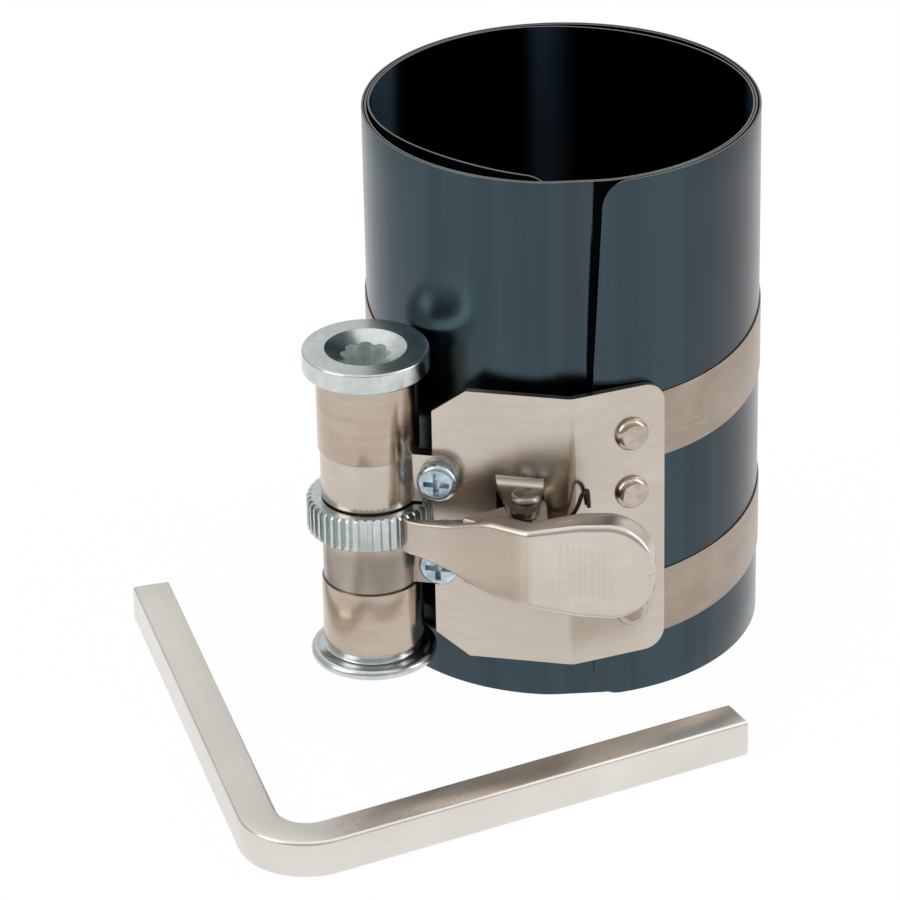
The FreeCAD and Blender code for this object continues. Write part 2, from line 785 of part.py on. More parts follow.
def make_windings():
    """The band that is already wound on the drum, above and below the ears."""
    start = "(dim.ear_high + dim.joint_gap)"
    ring_body("upper_band_winding", SPINDLE_PLACE, "dim.winding_radius", FITTED, start, "dim.band_width")
    ring_body(
        "lower_band_winding", SPINDLE_PLACE, "dim.winding_radius", FITTED,
        f"-{start} - dim.band_width", "dim.band_width",
    )


def make_end_flange():
    """Pressed ring under the lower drum, with the collar that spaces it from the band."""
    body = new_body("end_flange", SPINDLE_PLACE)
    low = f"(-{STACK} - dim.end_flange_thick)"
    profile = outline(body, "XZ_Plane", "rim", [
        (FITTED, low),
        ("dim.end_flange_radius - dim.end_flange_edge", low),
        ("dim.end_flange_radius", f"{low} + dim.end_flange_edge"),
        ("dim.end_flange_radius", f"-{STACK} - dim.end_flange_edge"),
        ("dim.end_flange_radius - dim.end_flange_edge", f"-{STACK}"),
        ("dim.collar_radius", f"-{STACK}"),
        ("dim.collar_radius", f"-{STACK} + dim.drum_collar"),
        (FITTED, f"-{STACK} + dim.drum_collar"),
    ])
    revolve(body, profile)
    return body


def make_ratchet_wheel():
    """Toothed wheel: one gap with a steep and a sloping flank, facing the nose, repeated round the rim."""
    body = ring_body(
        "ratchet_wheel", SPINDLE_PLACE, "dim.wheel_radius", FITTED,
        "-dim.wheel_thick / 2", "dim.wheel_thick", "dim.wheel_edge",
    )
    mouth = "(2 * pi * dim.wheel_radius / dim.wheel_teeth - dim.tooth_land)"
    azimuth = math.radians(size("lever_tip_azimuth"))
    toward = (math.cos(azimuth), math.sin(azimuth))
    across = (-toward[1], toward[0])
    corners = []
    floor = "(dim.wheel_radius - dim.tooth_depth)"
    above = "(dim.wheel_radius + dim.tooth_depth)"
    for radial, sideways in (
        (floor, "dim.gap_start"),
        (floor, "(dim.gap_start + dim.gap_land)"),
        (above, f"(dim.gap_start + 2 * {mouth} - dim.gap_land)"),
        (above, "dim.gap_start"),
    ):
        corners.append((
            f"{radial} * {toward[0]:.9f} + {sideways} * {across[0]:.9f}",
            f"{radial} * {toward[1]:.9f} + {sideways} * {across[1]:.9f}",
        ))
    gap = outline(body, "XY_Plane", "tooth_gap", corners)
    first = pocket(body, gap, "2 * dim.wheel_thick", both_ways=True)
    pattern = body.newObject("PartDesign::PolarPattern", "teeth")
    pattern.Originals = [first]
    pattern.Axis = (gap, ["N_Axis"])
    pattern.Angle = 360
    pattern.setExpression("Occurrences", "dim.wheel_teeth")
    body.Tip = pattern
    doc.recompute()
    return body


# Screws and nuts that close the ears.  Each stands on the plate's left part, +Z outwards.

def screw_place(side, out):
    """Place on the screw's axis, its own Z pointing away from the plate's outer face."""
    point = spot(on_left_part(size("screw_along"), out), CENTRE + side * size("screw_rise"))
    return Placement(point, Rotation(UP, -size("left_yaw")).multiply(Rotation(Vector(1, 0, 0), 90)))


def make_screw(label, side):
    """Pan-head screw with a cross recess; its seat is the tab's outer face."""
    body = new_body(label, screw_place(side, size("fold_gap") + size("plate_sheet")))
    tip = "(-2 * dim.plate_sheet - dim.fold_gap - dim.nut_high - dim.screw_tip)"
    profile = outline(body, "XZ_Plane", "turned", [
        ("0", tip),
        ("dim.screw_radius - dim.screw_tip / 2", tip),
        ("dim.screw_radius", f"{tip} + dim.screw_tip / 2"),
        ("dim.screw_radius", "0"),
        ("dim.screw_head_radius", "0"),
        ("dim.screw_head_radius", "dim.screw_head_high"),
        ("0", "dim.screw_head_high"),
    ])
    revolve(body, profile)
    round_edges(
        body, "head_round",
        lambda edge: is_round(edge, size("screw_head_radius"), size("screw_head_high")),
        "dim.screw_head_edge",
    )
    span = "dim.recess_span / 2"
    slot = "dim.recess_slot / 2"
    for name, (wide, high) in {"recess_a": (span, slot), "recess_b": (slot, span)}.items():
        bar = outline(body, "XY_Plane", name, [
            (f"-{wide}", f"-{high}"), (wide, f"-{high}"), (wide, high), (f"-{wide}", high),
        ], level="dim.screw_head_high - dim.recess_depth")
        pocket(body, bar, "2 * dim.recess_depth", backwards=True)
    return body


def make_nut(label, side):
    """Hexagon nut against the back of the plate, one flat towards the spindle."""
    body = new_body(label, screw_place(side, -size("plate_sheet")))
    half = "dim.nut_flats / 2"
    wide = f"dim.nut_flats / 2 * {math.tan(math.pi / 6):.9f}"
    point = f"dim.nut_flats * {1 / math.sqrt(3):.9f}"
    hexagon = outline(body, "XY_Plane", "hexagon", [
        (half, f"-{wide}"), (half, wide), ("0", point), (f"-{half}", wide), (f"-{half}", f"-{wide}"),
        ("0", f"-{point}"),
    ])
    pad(body, hexagon, "dim.nut_high", backwards=True)
    bore = circles(body, "XY_Plane", "thread", [("0", "0", "dim.screw_radius + dim.press_clearance")])
    pocket(body, bore, "dim.nut_high")
    return body


# Pawl pin, lever and spring.

def make_pin():
    """Pin through both lugs with a domed head on top and a riveted end below."""
    body = new_body("pawl_pin", Placement(spot(PIN, CENTRE), Rotation()))
    low = "(-dim.lug_top - dim.pin_head_high / 2)"
    profile = outline(body, "XZ_Plane", "turned", [
        ("0", low),
        ("dim.pin_head_radius * 0.85", low),
        ("dim.pin_head_radius * 0.85", "-dim.lug_top"),
        ("dim.pin_radius", "-dim.lug_top"),
        ("dim.pin_radius", "dim.lug_top"),
        ("dim.pin_head_radius", "dim.lug_top"),
        ("dim.pin_head_radius", "dim.lug_top + dim.pin_head_high"),
        ("0", "dim.lug_top + dim.pin_head_high"),
    ])
    revolve(body, profile)
    round_edges(
        body, "head_round",
        lambda edge: is_round(edge, size("pin_head_radius"), size("lug_top") + size("pin_head_high")),
        "dim.pin_head_high * 0.8",
    )
    return body


def lever_points():
    """Nose, bend and pad end of the lever's front face in plan."""
    azimuth = math.radians(size("lever_tip_azimuth"))
    reach = size("wheel_radius") + size("lever_tip_gap")
    nose = Vector(SPINDLE[0] + reach * math.cos(azimuth), SPINDLE[1] + reach * math.sin(azimuth), 0)
    bend = spot(PIN) + Vector(-size("lever_bend_left"), -size("lever_bend_out"), 0)
    end = spot(PIN) + Vector(size("pad_reach"), -size("pad_out"), 0)
    return nose, bend, end


def backward(direction):
    """Unit vector in plan square to a direction, to its left."""
    return Vector(-direction.y, direction.x, 0)


def tall_prism(points):
    """Prism on a plan outline, tall enough for the whole lever."""
    reach = size("lever_pad_high")
    raised = [Vector(point.x, point.y, CENTRE - reach) for point in points]
    return Part.Face(Part.makePolygon(raised + raised[:1])).extrude(Vector(0, 0, 2 * reach))


def lever_side_view(inset):
    """Prism across the lever with its front outline, each edge drawn in by an inset."""
    nose, bend, end = lever_points()
    stations = (
        (nose.x - size("lever_sheet"), size("lever_tip_high")),
        (nose.x + 0.12 * (bend.x - nose.x), size("lever_tip_high")),
        (nose.x + 0.34 * (bend.x - nose.x), size("lever_neck_high")),
        (nose.x + 0.68 * (bend.x - nose.x), size("lever_shoulder_high")),
        (bend.x, size("lever_shoulder_high")),
        (bend.x + 0.55 * (end.x - bend.x), size("lever_pad_high")),
        (end.x, size("lever_pad_high")),
    )
    upper = [Vector(x, 0, CENTRE + high / 2 - inset) for x, high in stations]
    lower = [Vector(x, 0, CENTRE - high / 2 + inset) for x, high in reversed(stations)]
    reach = 2 * size("sleeve_radius")
    face = Part.Face(Part.makePolygon(upper + lower + upper[:1]))
    face.translate(Vector(0, -2 * reach, 0))
    view = face.extrude(Vector(0, 2 * reach, 0))
    corners = [
        edge for edge in view.Edges
        if is_straight(edge, Vector(0, 1, 0)) and abs(edge.CenterOfMass.x - end.x) < 1e-6
    ]
    return view.makeFillet(size("pad_end_round") - inset, corners)


def make_lever():
    """Pressed channel with a thumb pad, ears round the pin and a nose for the teeth."""
    sheet_metal = size("lever_sheet")
    nose, bend, end = lever_points()
    along_web = (bend - nose).normalize()
    along_pad = (end - bend).normalize()
    web_back = backward(along_web)
    pad_back = backward(along_pad)
    half_turn = along_web.getAngle(along_pad) / 2
    inner_bend = bend + (web_back + pad_back).normalize() * (sheet_metal / math.cos(half_turn))
    shoulder = nose + along_web * size("lever_nose_length")
    web = tall_prism([
        nose + web_back * (size("lever_nose") / 2),
        nose - web_back * (size("lever_nose") / 2),
        shoulder - web_back * (sheet_metal / 2),
        bend,
        end,
        end + pad_back * sheet_metal,
        inner_bend,
        shoulder + web_back * (sheet_metal / 2),
    ])
    bends = [
        edge for edge in web.Edges
        if is_straight(edge, UP) and (spot((edge.CenterOfMass.x, edge.CenterOfMass.y)) - bend).Length < 1e-6
    ]
    web = web.makeFillet(sheet_metal * 1.4, bends)
    radius = size("lever_ear_radius")
    flange = tall_prism([
        shoulder,
        shoulder + web_back * size("lever_flange_deep"),
        nose + along_web * size("lever_waist") + web_back * (1.6 * sheet_metal),
        spot(PIN) + Vector(-radius, 0, 0),
        spot(PIN) + Vector(radius, 0, 0),
        inner_bend + along_pad * size("lever_flange_past_bend"),
        inner_bend,
    ])
    ear = Part.makeCylinder(radius, 4 * size("lever_pad_high"), spot(PIN, CENTRE - 2 * size("lever_pad_high")))
    room = size("wheel_radius") + size("lever_wheel_room")
    wheel_room = Part.makeCylinder(room, size("sleeve_height"), spot(SPINDLE))
    flange = flange.fuse(ear).cut(wheel_room).common(lever_side_view(0))
    flange = flange.cut(lever_side_view(sheet_metal))
    lever = web.common(lever_side_view(0)).fuse(flange)
    lug_room = size("lug_top") - size("lug_sheet") - size("joint_gap") / 2
    band = Part.makeBox(*(3 * [2 * size("sleeve_radius")]))
    for side in (1, -1):
        level = CENTRE + lug_room if side > 0 else CENTRE - lug_room - 2 * size("sleeve_radius")
        over = band.copy()
        over.Placement = Placement(
            spot(PIN, level) + Vector(-size("sleeve_radius"), -size("lug_reach") + size("pin_out") - 0.4, 0),
            Rotation(),
        )
        lever = lever.cut(over)
    hole = size("pin_radius") + size("running_clearance")
    lever = lever.cut(Part.makeCylinder(hole, size("sleeve_height"), spot(PIN)))
    yaw = math.degrees(math.atan2(along_pad.y, along_pad.x))
    for index in range(int(size("pad_ribs"))):
        across = size("pad_rib_start") + index * size("pad_rib_pitch")
        rib = Part.makeBox(
            size("pad_rib_wide"), size("pad_rib_proud") + sheet_metal / 2, size("pad_rib_high"),
            Vector(across, -size("pad_rib_proud"), CENTRE - size("pad_rib_high") / 2),
        )
        rib.Placement = Placement(bend, Rotation(UP, yaw))
        lever = lever.fuse(rib)
    return set_shape("pawl_lever", lever.removeSplitter())


def make_spring():
    """Torsion spring round the pin: coil, one leg to the plate and one to the lever's web."""
    wire = size("spring_wire") / 2
    radius = size("spring_radius")
    height = size("spring_coils") * size("spring_pitch")
    start = Vector(radius, 0, -height / 2)
    finish = Vector(radius, 0, height / 2)
    path = Part.Wire([
        Part.makeLine(start + Vector(0, -size("spring_leg_lever"), 0), start),
        Part.makeHelix(size("spring_pitch"), height, radius).translated(Vector(0, 0, -height / 2)).Edges[0],
        Part.makeLine(finish, finish + Vector(0, size("spring_leg_plate"), 0)),
    ])
    section = Part.Wire(Part.makeCircle(wire, path.Edges[0].Vertexes[0].Point, Vector(0, 1, 0)))
    spring = path.makePipeShell([section], True, True)
    return set_shape("pawl_spring", spring, Placement(spot(PIN, CENTRE), Rotation()))


# Loose key.

def make_key():
    """Square bar bent to an L, lying on the floor; +X runs along the short arm."""
    place = Placement(Vector(size("key_x"), size("key_y"), 0), Rotation(UP, size("key_yaw")))
    body = new_body("key", place)
    half = "dim.key_width / 2"
    cos_bend = "cos(dim.key_bend_angle)"
    sin_bend = "sin(dim.key_bend_angle)"
    corner_along = f"{half} / tan(dim.key_bend_angle / 2)"
    plan = outline(body, "XY_Plane", "plan", [
        (f"-{corner_along}", f"-{half}"),
        ("dim.key_short_arm", f"-{half}"),
        ("dim.key_short_arm", half),
        (corner_along, half),
        (f"dim.key_long_arm * {cos_bend} + {half} * {sin_bend}",
         f"dim.key_long_arm * {sin_bend} - {half} * {cos_bend}"),
        (f"dim.key_long_arm * {cos_bend} - {half} * {sin_bend}",
         f"dim.key_long_arm * {sin_bend} + {half} * {cos_bend}"),
    ])
    pad(body, plan, "dim.key_width")
    corner = size("key_width") / 2 / math.tan(math.radians(size("key_bend_angle") / 2))
    for name, side, radius in (
        ("inner_bend", 1, "dim.key_bend_radius"),
        ("outer_bend", -1, "dim.key_bend_radius + dim.key_width"),
    ):
        round_edges(
            body, name,
            lambda edge: is_straight(edge, UP) and abs(edge.CenterOfMass.x - side * corner) < 1e-4
            and abs(edge.CenterOfMass.y - side * size("key_width") / 2) < 1e-4,
            radius,
        )
    round_edges(
        body, "long_edges",
        lambda edge: not is_straight(edge, UP) and edge.Length > 1.1 * size("key_width"),
        "dim.key_edge",
    )
    return body


def export(parts):
    """Check every object and write one file for each sub-part."""
    doc.recompute()
    for item in doc.Objects:
        if "Invalid" in item.State or "Error" in item.State:
            raise RuntimeError(f"{item.Name} failed: {item.State}")
    os.makedirs("parts", exist_ok=True)
    for item in parts:
        if item.Shape.isNull() or not item.Shape.isValid() or len(item.Shape.Solids) != 1:
            raise RuntimeError(f"{item.Label} has no valid single solid")
        item.Shape.exportStep(f"parts/{item.Label}.step")


make_sleeve()
make_band("upper_band", 1)
make_band("lower_band", -1)
for rivet, (_, level) in RIVETS.items():
    make_rivet(rivet, level)
make_base_plate()
make_spindle()
make_windings()
make_end_flange()
make_ratchet_wheel()
for name, side in (("upper", 1), ("lower", -1)):
    make_screw(f"{name}_ear_screw", side)
    make_nut(f"{name}_ear_nut", side)
make_pin()
make_lever()
make_spring()
make_key()
export([item for item in doc.Objects if item.TypeId in ("PartDesign::Body", "Part::Feature")])
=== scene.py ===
"""Looks of a piston ring compressor: spiral sleeve, two bands, ratchet drum, pawl lever and loose key.

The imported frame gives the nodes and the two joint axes.  Thin wound pieces are surfaces worked out
with numpy, and the turned and pressed pieces are merged, bevelled copies of their nodes.  Classes
hold their sizes in millimetres and degrees, and a finished mesh is in metres.
"""

from __future__ import annotations

import json
import logging
import math
from dataclasses import dataclass
from enum import Enum, IntEnum
from typing import Sequence

import bmesh
import bpy
import numpy as np
from mathutils import Matrix, Vector

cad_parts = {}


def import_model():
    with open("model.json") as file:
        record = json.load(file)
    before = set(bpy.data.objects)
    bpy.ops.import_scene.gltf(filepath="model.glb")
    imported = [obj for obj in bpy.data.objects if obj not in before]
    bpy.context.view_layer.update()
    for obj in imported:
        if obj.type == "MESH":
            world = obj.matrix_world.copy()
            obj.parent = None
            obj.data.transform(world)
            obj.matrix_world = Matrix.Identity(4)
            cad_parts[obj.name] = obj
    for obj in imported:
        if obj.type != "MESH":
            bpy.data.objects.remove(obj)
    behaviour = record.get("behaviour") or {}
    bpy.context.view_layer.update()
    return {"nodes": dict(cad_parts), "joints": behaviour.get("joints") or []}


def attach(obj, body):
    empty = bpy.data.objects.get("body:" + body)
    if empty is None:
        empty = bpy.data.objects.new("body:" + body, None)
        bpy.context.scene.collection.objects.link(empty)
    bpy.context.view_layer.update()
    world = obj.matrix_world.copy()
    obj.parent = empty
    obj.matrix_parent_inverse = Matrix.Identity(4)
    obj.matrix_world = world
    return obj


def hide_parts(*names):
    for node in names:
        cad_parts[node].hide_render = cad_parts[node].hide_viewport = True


LOG = logging.getLogger("ring_compressor")
MM = 0.001
ROUND = 2.0 * math.pi
MARK = "mark"
Tone = tuple[float, float, float, float]
Triple = tuple[float, float, float]
Pair = tuple[float, float]
WHITE: Tone = (1.0, 1.0, 1.0, 1.0)


class Body(Enum):
    """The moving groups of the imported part."""

    FRAME = "frame"
    SPINDLE = "spindle"
    PAWL = "pawl"
    KEY = "key"


class Pattern(Enum):
    """Where a finish takes its pattern from."""

    OBJECT = "Object"
    UV = "UV"


class Mark(IntEnum):
    """What the number at a point of the sleeve's strip tells its finish."""

    RIM = -1
    OUTSIDE = 0
    # Points that take the inside's painted shade: the gap beside the outer end, as a painted shadow, and
    # the inside face.
    GAP = 1
    INSIDE = 2


class Side(Enum):
    """The upper or the lower one of two like pieces, with the sign of its height over the middle."""

    UPPER = 1
    LOWER = -1

    def of(self, piece: str) -> str:
        """Name this side's piece."""
        return f"{self.name.lower()}_{piece}"


@dataclass(frozen=True)
class Axes:
    """Where the two upright axes cross the mechanism's middle plane, in millimetres."""

    spindle: Triple
    pin: Triple

    @classmethod
    def from_joints(cls, joints: Sequence[dict]) -> "Axes":
        """Read both axes from the frame's joints.

        Args:
            joints: The joints as the frame lists them.

        Returns:
            The axes of the spindle's hinge and of the pawl's.
        """
        place = {joint["name"]: joint.get("pos_m") for joint in joints}
        spindle, pin = (
            tuple(value / MM for value in place[hinge]) for hinge in ("spindle_turn", "pawl_swing")
        )
        return cls(spindle, pin)


def tone(red: float, green: float, blue: float) -> Tone:
    """Turn a display colour into the linear one that a shader takes, by the display curve's formula.

    Args:
        red: Display value from 0 to 255.
        green: Display value from 0 to 255.
        blue: Display value from 0 to 255.

    Returns:
        The linear colour with full opacity.
    """
    share = np.array([red, green, blue]) / 255.0
    linear = np.where(share <= 0.04045, share / 12.92, ((share + 0.055) / 1.055) ** 2.4)
    return (float(linear[0]), float(linear[1]), float(linear[2]), 1.0)


class Wire:
    """An output socket whose arithmetic adds Math nodes to its own tree."""

    def __init__(self, graph: "Graph", socket: bpy.types.NodeSocket) -> None:
        """Keep the socket and the graph that it belongs to."""
        self.graph = graph
        self.socket = socket

    def math(self, operation: str, *others: "Wire | float") -> "Wire":
        """Apply one Math operation.

        Args:
            operation: Name of the operation.
            *others: What follows this socket as operands.

        Returns:
            The result's socket.
        """
        values = dict(enumerate((self, *others)))
        return self.graph.add("ShaderNodeMath", values, operation=operation).wire()

    def __add__(self, other: "Wire | float") -> "Wire":
        """Add."""
        return self.math("ADD", other)

    def __mul__(self, other: "Wire | float") -> "Wire":
        """Multiply."""
        return self.math("MULTIPLY", other)

    def __sub__(self, other: "Wire | float") -> "Wire":
        """Subtract."""
        return self.math("SUBTRACT", other)

    def __neg__(self) -> "Wire":
        """Turn the sign."""
        return self * -1.0

    def __rsub__(self, other: float) -> "Wire":
        """Subtract this from a number."""
        return -self + other

    __radd__ = __add__
    __rmul__ = __mul__

    def within(self, low: float, high: float) -> "Wire":
        """Rise smoothly from 0 at low to 1 at high."""
        values = {0: self, 1: low, 2: high}
        return self.graph.add("ShaderNodeMapRange", values, interpolation_type="SMOOTHSTEP").wire()

    def below(self, high: float, low: float) -> "Wire":
        """Rise smoothly from 0 at high to 1 at low."""
        return (-self).within(-high, -low)


class Placed:
    """A node of a graph, with a short way to its outputs."""

    def __init__(self, graph: "Graph", node: bpy.types.Node) -> None:
        """Keep the node and its graph."""
        self.graph = graph
        self.node = node

    def wire(self, name: str | int = 0) -> Wire:
        """Give one output by name or number."""
        return Wire(self.graph, self.node.outputs[name])


class Graph:
    """The node tree of a material or of the world."""

    def __init__(self, owner: bpy.types.Material | bpy.types.World) -> None:
        """Empty the owner's tree.

        Args:
            owner: The material or world that is given its nodes here.
        """
        owner.use_nodes = True
        self.tree = owner.node_tree
        self.tree.nodes.clear()

    def add(self, kind: str, values: dict | None = None, **settings: object) -> Placed:
        """Add a node, with its settings first and its sockets after them.

        Args:
            kind: The node's type.
            values: What goes into its sockets, by name or number.
            **settings: The node's own properties.

        Returns:
            The placed node.
        """
        node = self.tree.nodes.new(kind)
        for name, value in settings.items():
            setattr(node, name, value)
        for name, value in (values or {}).items():
            if isinstance(value, Wire):
                self.tree.links.new(value.socket, node.inputs[name])
            else:
                node.inputs[name].default_value = value
        return Placed(self, node)

    def place(self, pattern: Pattern, scale: Triple, turn: Triple = (0.0, 0.0, 0.0)) -> Wire:
        """Give pattern coordinates, stretched and turned.

        Args:
            pattern: Where they come from.
            scale: Repeats to a metre along each axis.
            turn: Turn of the pattern in degrees.

        Returns:
            The vector's socket.
        """
        source = self.add("ShaderNodeTexCoord").wire(pattern.value)
        rotation = tuple(math.radians(angle) for angle in turn)
        values = {"Vector": source, "Rotation": rotation, "Scale": scale}
        return self.add("ShaderNodeMapping", values).wire()

    def along(self, axis: int) -> Wire:
        """Give a point's coordinate along one of its piece's axes, in millimetres."""
        place = self.add("ShaderNodeTexCoord").wire(Pattern.OBJECT.value)
        return self.add("ShaderNodeSeparateXYZ", {0: place}).wire(axis) * (1.0 / MM)

    def noise(self, where: Wire, detail: float, twist: float = 0.0) -> Wire:
        """Give a noise value from 0 to 1 at the coordinates."""
        values = {"Vector": where, "Scale": 1.0, "Detail": detail, "Distortion": twist}
        return self.add("ShaderNodeTexNoise", values).wire()

    def blend(self, share: Wire | float, first: Wire | Tone, second: Wire | Tone) -> Wire:
        """Mix two colours by a share of the second."""
        return self.add("ShaderNodeMix", {0: share, 6: first, 7: second}, data_type="RGBA").wire(2)

    def bump(self, height: Wire, depth: float) -> Wire:
        """Raise the surface by a height, measured in metres where it is 1."""
        return self.add("ShaderNodeBump", {"Height": height, "Strength": 1.0, "Distance": depth}).wire()

    def mix(self, share: Wire, first: Placed, second: Placed, output: str) -> None:
        """Mix two shaders by a share of the second, and send them to the output.

        Args:
            share: The second one's share.
            first: The shader that shows where the share is 0.
            second: The shader that shows where it is 1.
            output: The output node's type.
        """
        both = self.add("ShaderNodeMixShader", {0: share, 1: first.wire(), 2: second.wire()})
        self.add(output, {"Surface": both.wire()})


@dataclass(frozen=True)
class MetalFinish:
    """A plated or blued metal with grain, mottling, fine scratches and uneven gloss.

    Attributes:
        name: The finish's own name.
        light: Tone of the light patches.
        dark: Tone of the dark patches.
        metallic: How far it is bare metal.
        gloss: Mean roughness.
        gloss_spread: How far the roughness varies.
        grain: Grains to a metre along each axis.
        grain_depth: Depth of the grain in metres.
        mottle: Patches to a metre.
        mottle_share: How far patches rather than grain set the tone.
        tone_step: Pattern values between which the tone goes from dark to light.
        scratches: Strength of the scratches.
        scratch_step: Pattern values between which a scratch grows.
        finer: How many times finer than the grain the scratches are.
        scratch_turn: How the scratches are turned against the grain, in degrees.
        pattern: Where the grain takes its coordinates from.
    """

    name: str
    light: Tone
    dark: Tone
    metallic: float = 1.0
    gloss: float = 0.28
    gloss_spread: float = 0.12
    grain: Triple = (900.0, 900.0, 900.0)
    grain_depth: float = 2e-6
    mottle: float = 140.0
    mottle_share: float = 0.6
    tone_step: Pair = (0.38, 0.66)
    scratches: float = 0.25
    scratch_step: Pair = (0.62, 0.72)
    finer: float = 2.3
    scratch_turn: Triple = (25.0, 12.0, 38.0)
    pattern: Pattern = Pattern.OBJECT

    def colour(self, graph: Graph, mottle: Wire, grain: Wire) -> Wire:
        """Mix the two tones by the mottling and the grain."""
        share = mottle * self.mottle_share + grain * (1.0 - self.mottle_share)
        return graph.blend(share.within(*self.tone_step), self.dark, self.light)

    def metal_share(self, graph: Graph) -> Wire | float:
        """Give how far the surface is bare metal."""
        return self.metallic

    def build(self) -> bpy.types.Material:
        """Make the material once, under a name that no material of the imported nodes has.

        Returns:
            The material of this finish.
        """
        name = f"finish_{self.name}"
        found = bpy.data.materials.get(name)
        if found:
            return found
        material = bpy.data.materials.new(name)
        graph = Graph(material)
        patches = (self.mottle, self.mottle, self.mottle)
        mottle = graph.noise(graph.place(Pattern.OBJECT, patches), 4.0, 0.4)
        grain = graph.noise(graph.place(self.pattern, self.grain), 5.0)
        fine = tuple(self.finer * value for value in self.grain)
        across = graph.noise(graph.place(self.pattern, fine, self.scratch_turn), 2.0, 1.2)
        marks = across.within(*self.scratch_step) * self.scratches
        uneven = mottle * self.gloss_spread + grain * (0.5 * self.gloss_spread) + marks * 0.3
        shader = graph.add("ShaderNodeBsdfPrincipled", {
            "Base Color": self.colour(graph, mottle, grain),
            "Metallic": self.metal_share(graph),
            "Roughness": uneven + (self.gloss - 0.6 * self.gloss_spread),
            "Normal": graph.bump(grain - marks * 0.5, self.grain_depth),
        })
        graph.add("ShaderNodeOutputMaterial", {"Surface": shader.wire()})
        material.diffuse_color = self.light
        return material


@dataclass(frozen=True)
class BluedFinishAndPaintedShade(MetalFinish):
    """Blued spring steel: teal outside with warmer upright streaks, and a nearly black painted shade inside
    with faint painted reflections.

    Attributes:
        warm: Tone of the streaks outside.
        warm_streaks: Those streaks to a metre along each axis.
        warm_step: Pattern values between which a streak grows.
        warm_share: How far they cover the teal.
        inner: Tone of the painted shade inside.
        reflection_tone: Tone of the painted reflections inside, which lie as faint streaks.
        reflection_streaks: Those streaks to a metre along each axis.
        reflection_step: Pattern values between which a streak grows.
        reflection_scatter: How far they scatter light instead of mirroring it.
        bare: Tone of the cut rims.
        bare_share: How far the rims are bare.
    """

    warm: Tone = tone(68, 67, 70)
    warm_streaks: Triple = (60.0, 60.0, 2.0)
    warm_step: Pair = (0.44, 0.66)
    warm_share: float = 0.65
    inner: Tone = tone(5, 6, 7)
    reflection_tone: Tone = tone(52, 68, 80)
    reflection_streaks: Triple = (70.0, 70.0, 1.0)
    reflection_step: Pair = (0.46, 0.6)
    reflection_scatter: float = 0.8
    bare: Tone = tone(130, 130, 126)
    bare_share: float = 0.8

    def colour(self, graph: Graph, mottle: Wire, grain: Wire) -> Wire:
        """Lay warm streaks over the cold tones, then the bare rims, then the painted shade inside and in
        the gap beside the outer end.

        Args:
            graph: The material's tree.
            mottle: Pattern of the patches.
            grain: Pattern of the grain.

        Returns:
            The colour's socket.
        """
        cold = super().colour(graph, mottle, grain)
        streak = graph.noise(graph.place(Pattern.OBJECT, self.warm_streaks), 2.0, 0.3)
        outer = graph.blend(streak.within(*self.warm_step) * self.warm_share, cold, self.warm)
        mark = self.mark(graph)
        rim = mark.below(Mark.OUTSIDE - 0.2, Mark.RIM + 0.1)
        rims = graph.blend(rim * self.bare_share, outer, self.bare)
        # Painted shade: the inside face and the gap beside the outer end take a nearly black tone, and the
        # inside face also takes faint streaks of painted reflection.
        inside = graph.blend(self.painted_reflection(graph), self.inner, self.reflection_tone)
        return graph.blend(mark.within(Mark.OUTSIDE + 0.1, Mark.GAP - 0.1), rims, inside)

    def metal_share(self, graph: Graph) -> Wire | float:
        """Let the painted reflections inside scatter light, so that their tone shows."""
        return 1.0 - self.painted_reflection(graph) * self.reflection_scatter

    def mark(self, graph: Graph) -> Wire:
        """Read the number that the strip carries at each of its points."""
        return graph.add("ShaderNodeAttribute", attribute_name=MARK, attribute_type="GEOMETRY").wire("Fac")

    def painted_reflection(self, graph: Graph) -> Wire:
        """Give the faint upright streaks of painted reflection, which are only inside."""
        faint = graph.noise(graph.place(Pattern.OBJECT, self.reflection_streaks), 1.0)
        return faint.within(*self.reflection_step) * self.mark(graph).within(Mark.GAP + 0.2, Mark.INSIDE - 0.1)


@dataclass(frozen=True)
class PlateFinishAndPaintedShade(MetalFinish):
    """Nickel with painted shade, for the shadow and dark reflections that fall on the two lugs and on the
    lower ear, with its places in millimetres.

    Attributes:
        shade: Tone of the painted shade there.
        face: A point in plan on the face of the plate's left part.
        facing: Direction in plan in which that face looks.
        lug_ahead: Distances in front of it between which the lugs' shade grows.
        lug_from: Places from left to right between which it grows.
        lug_share: Its share.
        ear_under: Heights between which the lower ear's shade grows, downwards.
        ear_left: Places between which it grows, to the left.
        ear_share: Its share.
    """

    shade: Tone = tone(84, 75, 69)
    face: Pair = (0.3, -31.42)
    facing: Pair = (-0.2147, -0.9767)
    lug_ahead: Pair = (0.3, 1.6)
    lug_from: Pair = (-12.5, -11.5)
    lug_share: float = 0.85
    ear_under: Pair = (27.0, 24.0)
    ear_left: Pair = (-18.5, -20.5)
    ear_share: float = 0.45

    def colour(self, graph: Graph, mottle: Wire, grain: Wire) -> Wire:
        """Paint shade on what stands in front of the left part's face, right of the ears, and on the lower
        ear.

        Args:
            graph: The material's tree.
            mottle: Pattern of the patches.
            grain: Pattern of the grain.

        Returns:
            The colour's socket.
        """
        plain = super().colour(graph, mottle, grain)
        across, depth, height = (graph.along(axis) for axis in range(3))
        # Painted shade: the lugs and the lower ear take a darker tone, where shadow and dark reflections
        # fall.
        ahead = (across - self.face[0]) * self.facing[0] + (depth - self.face[1]) * self.facing[1]
        lugs = ahead.within(*self.lug_ahead) * across.within(*self.lug_from)
        ear = height.below(*self.ear_under) * across.below(*self.ear_left)
        return graph.blend(lugs * self.lug_share + ear * self.ear_share, plain, self.shade)


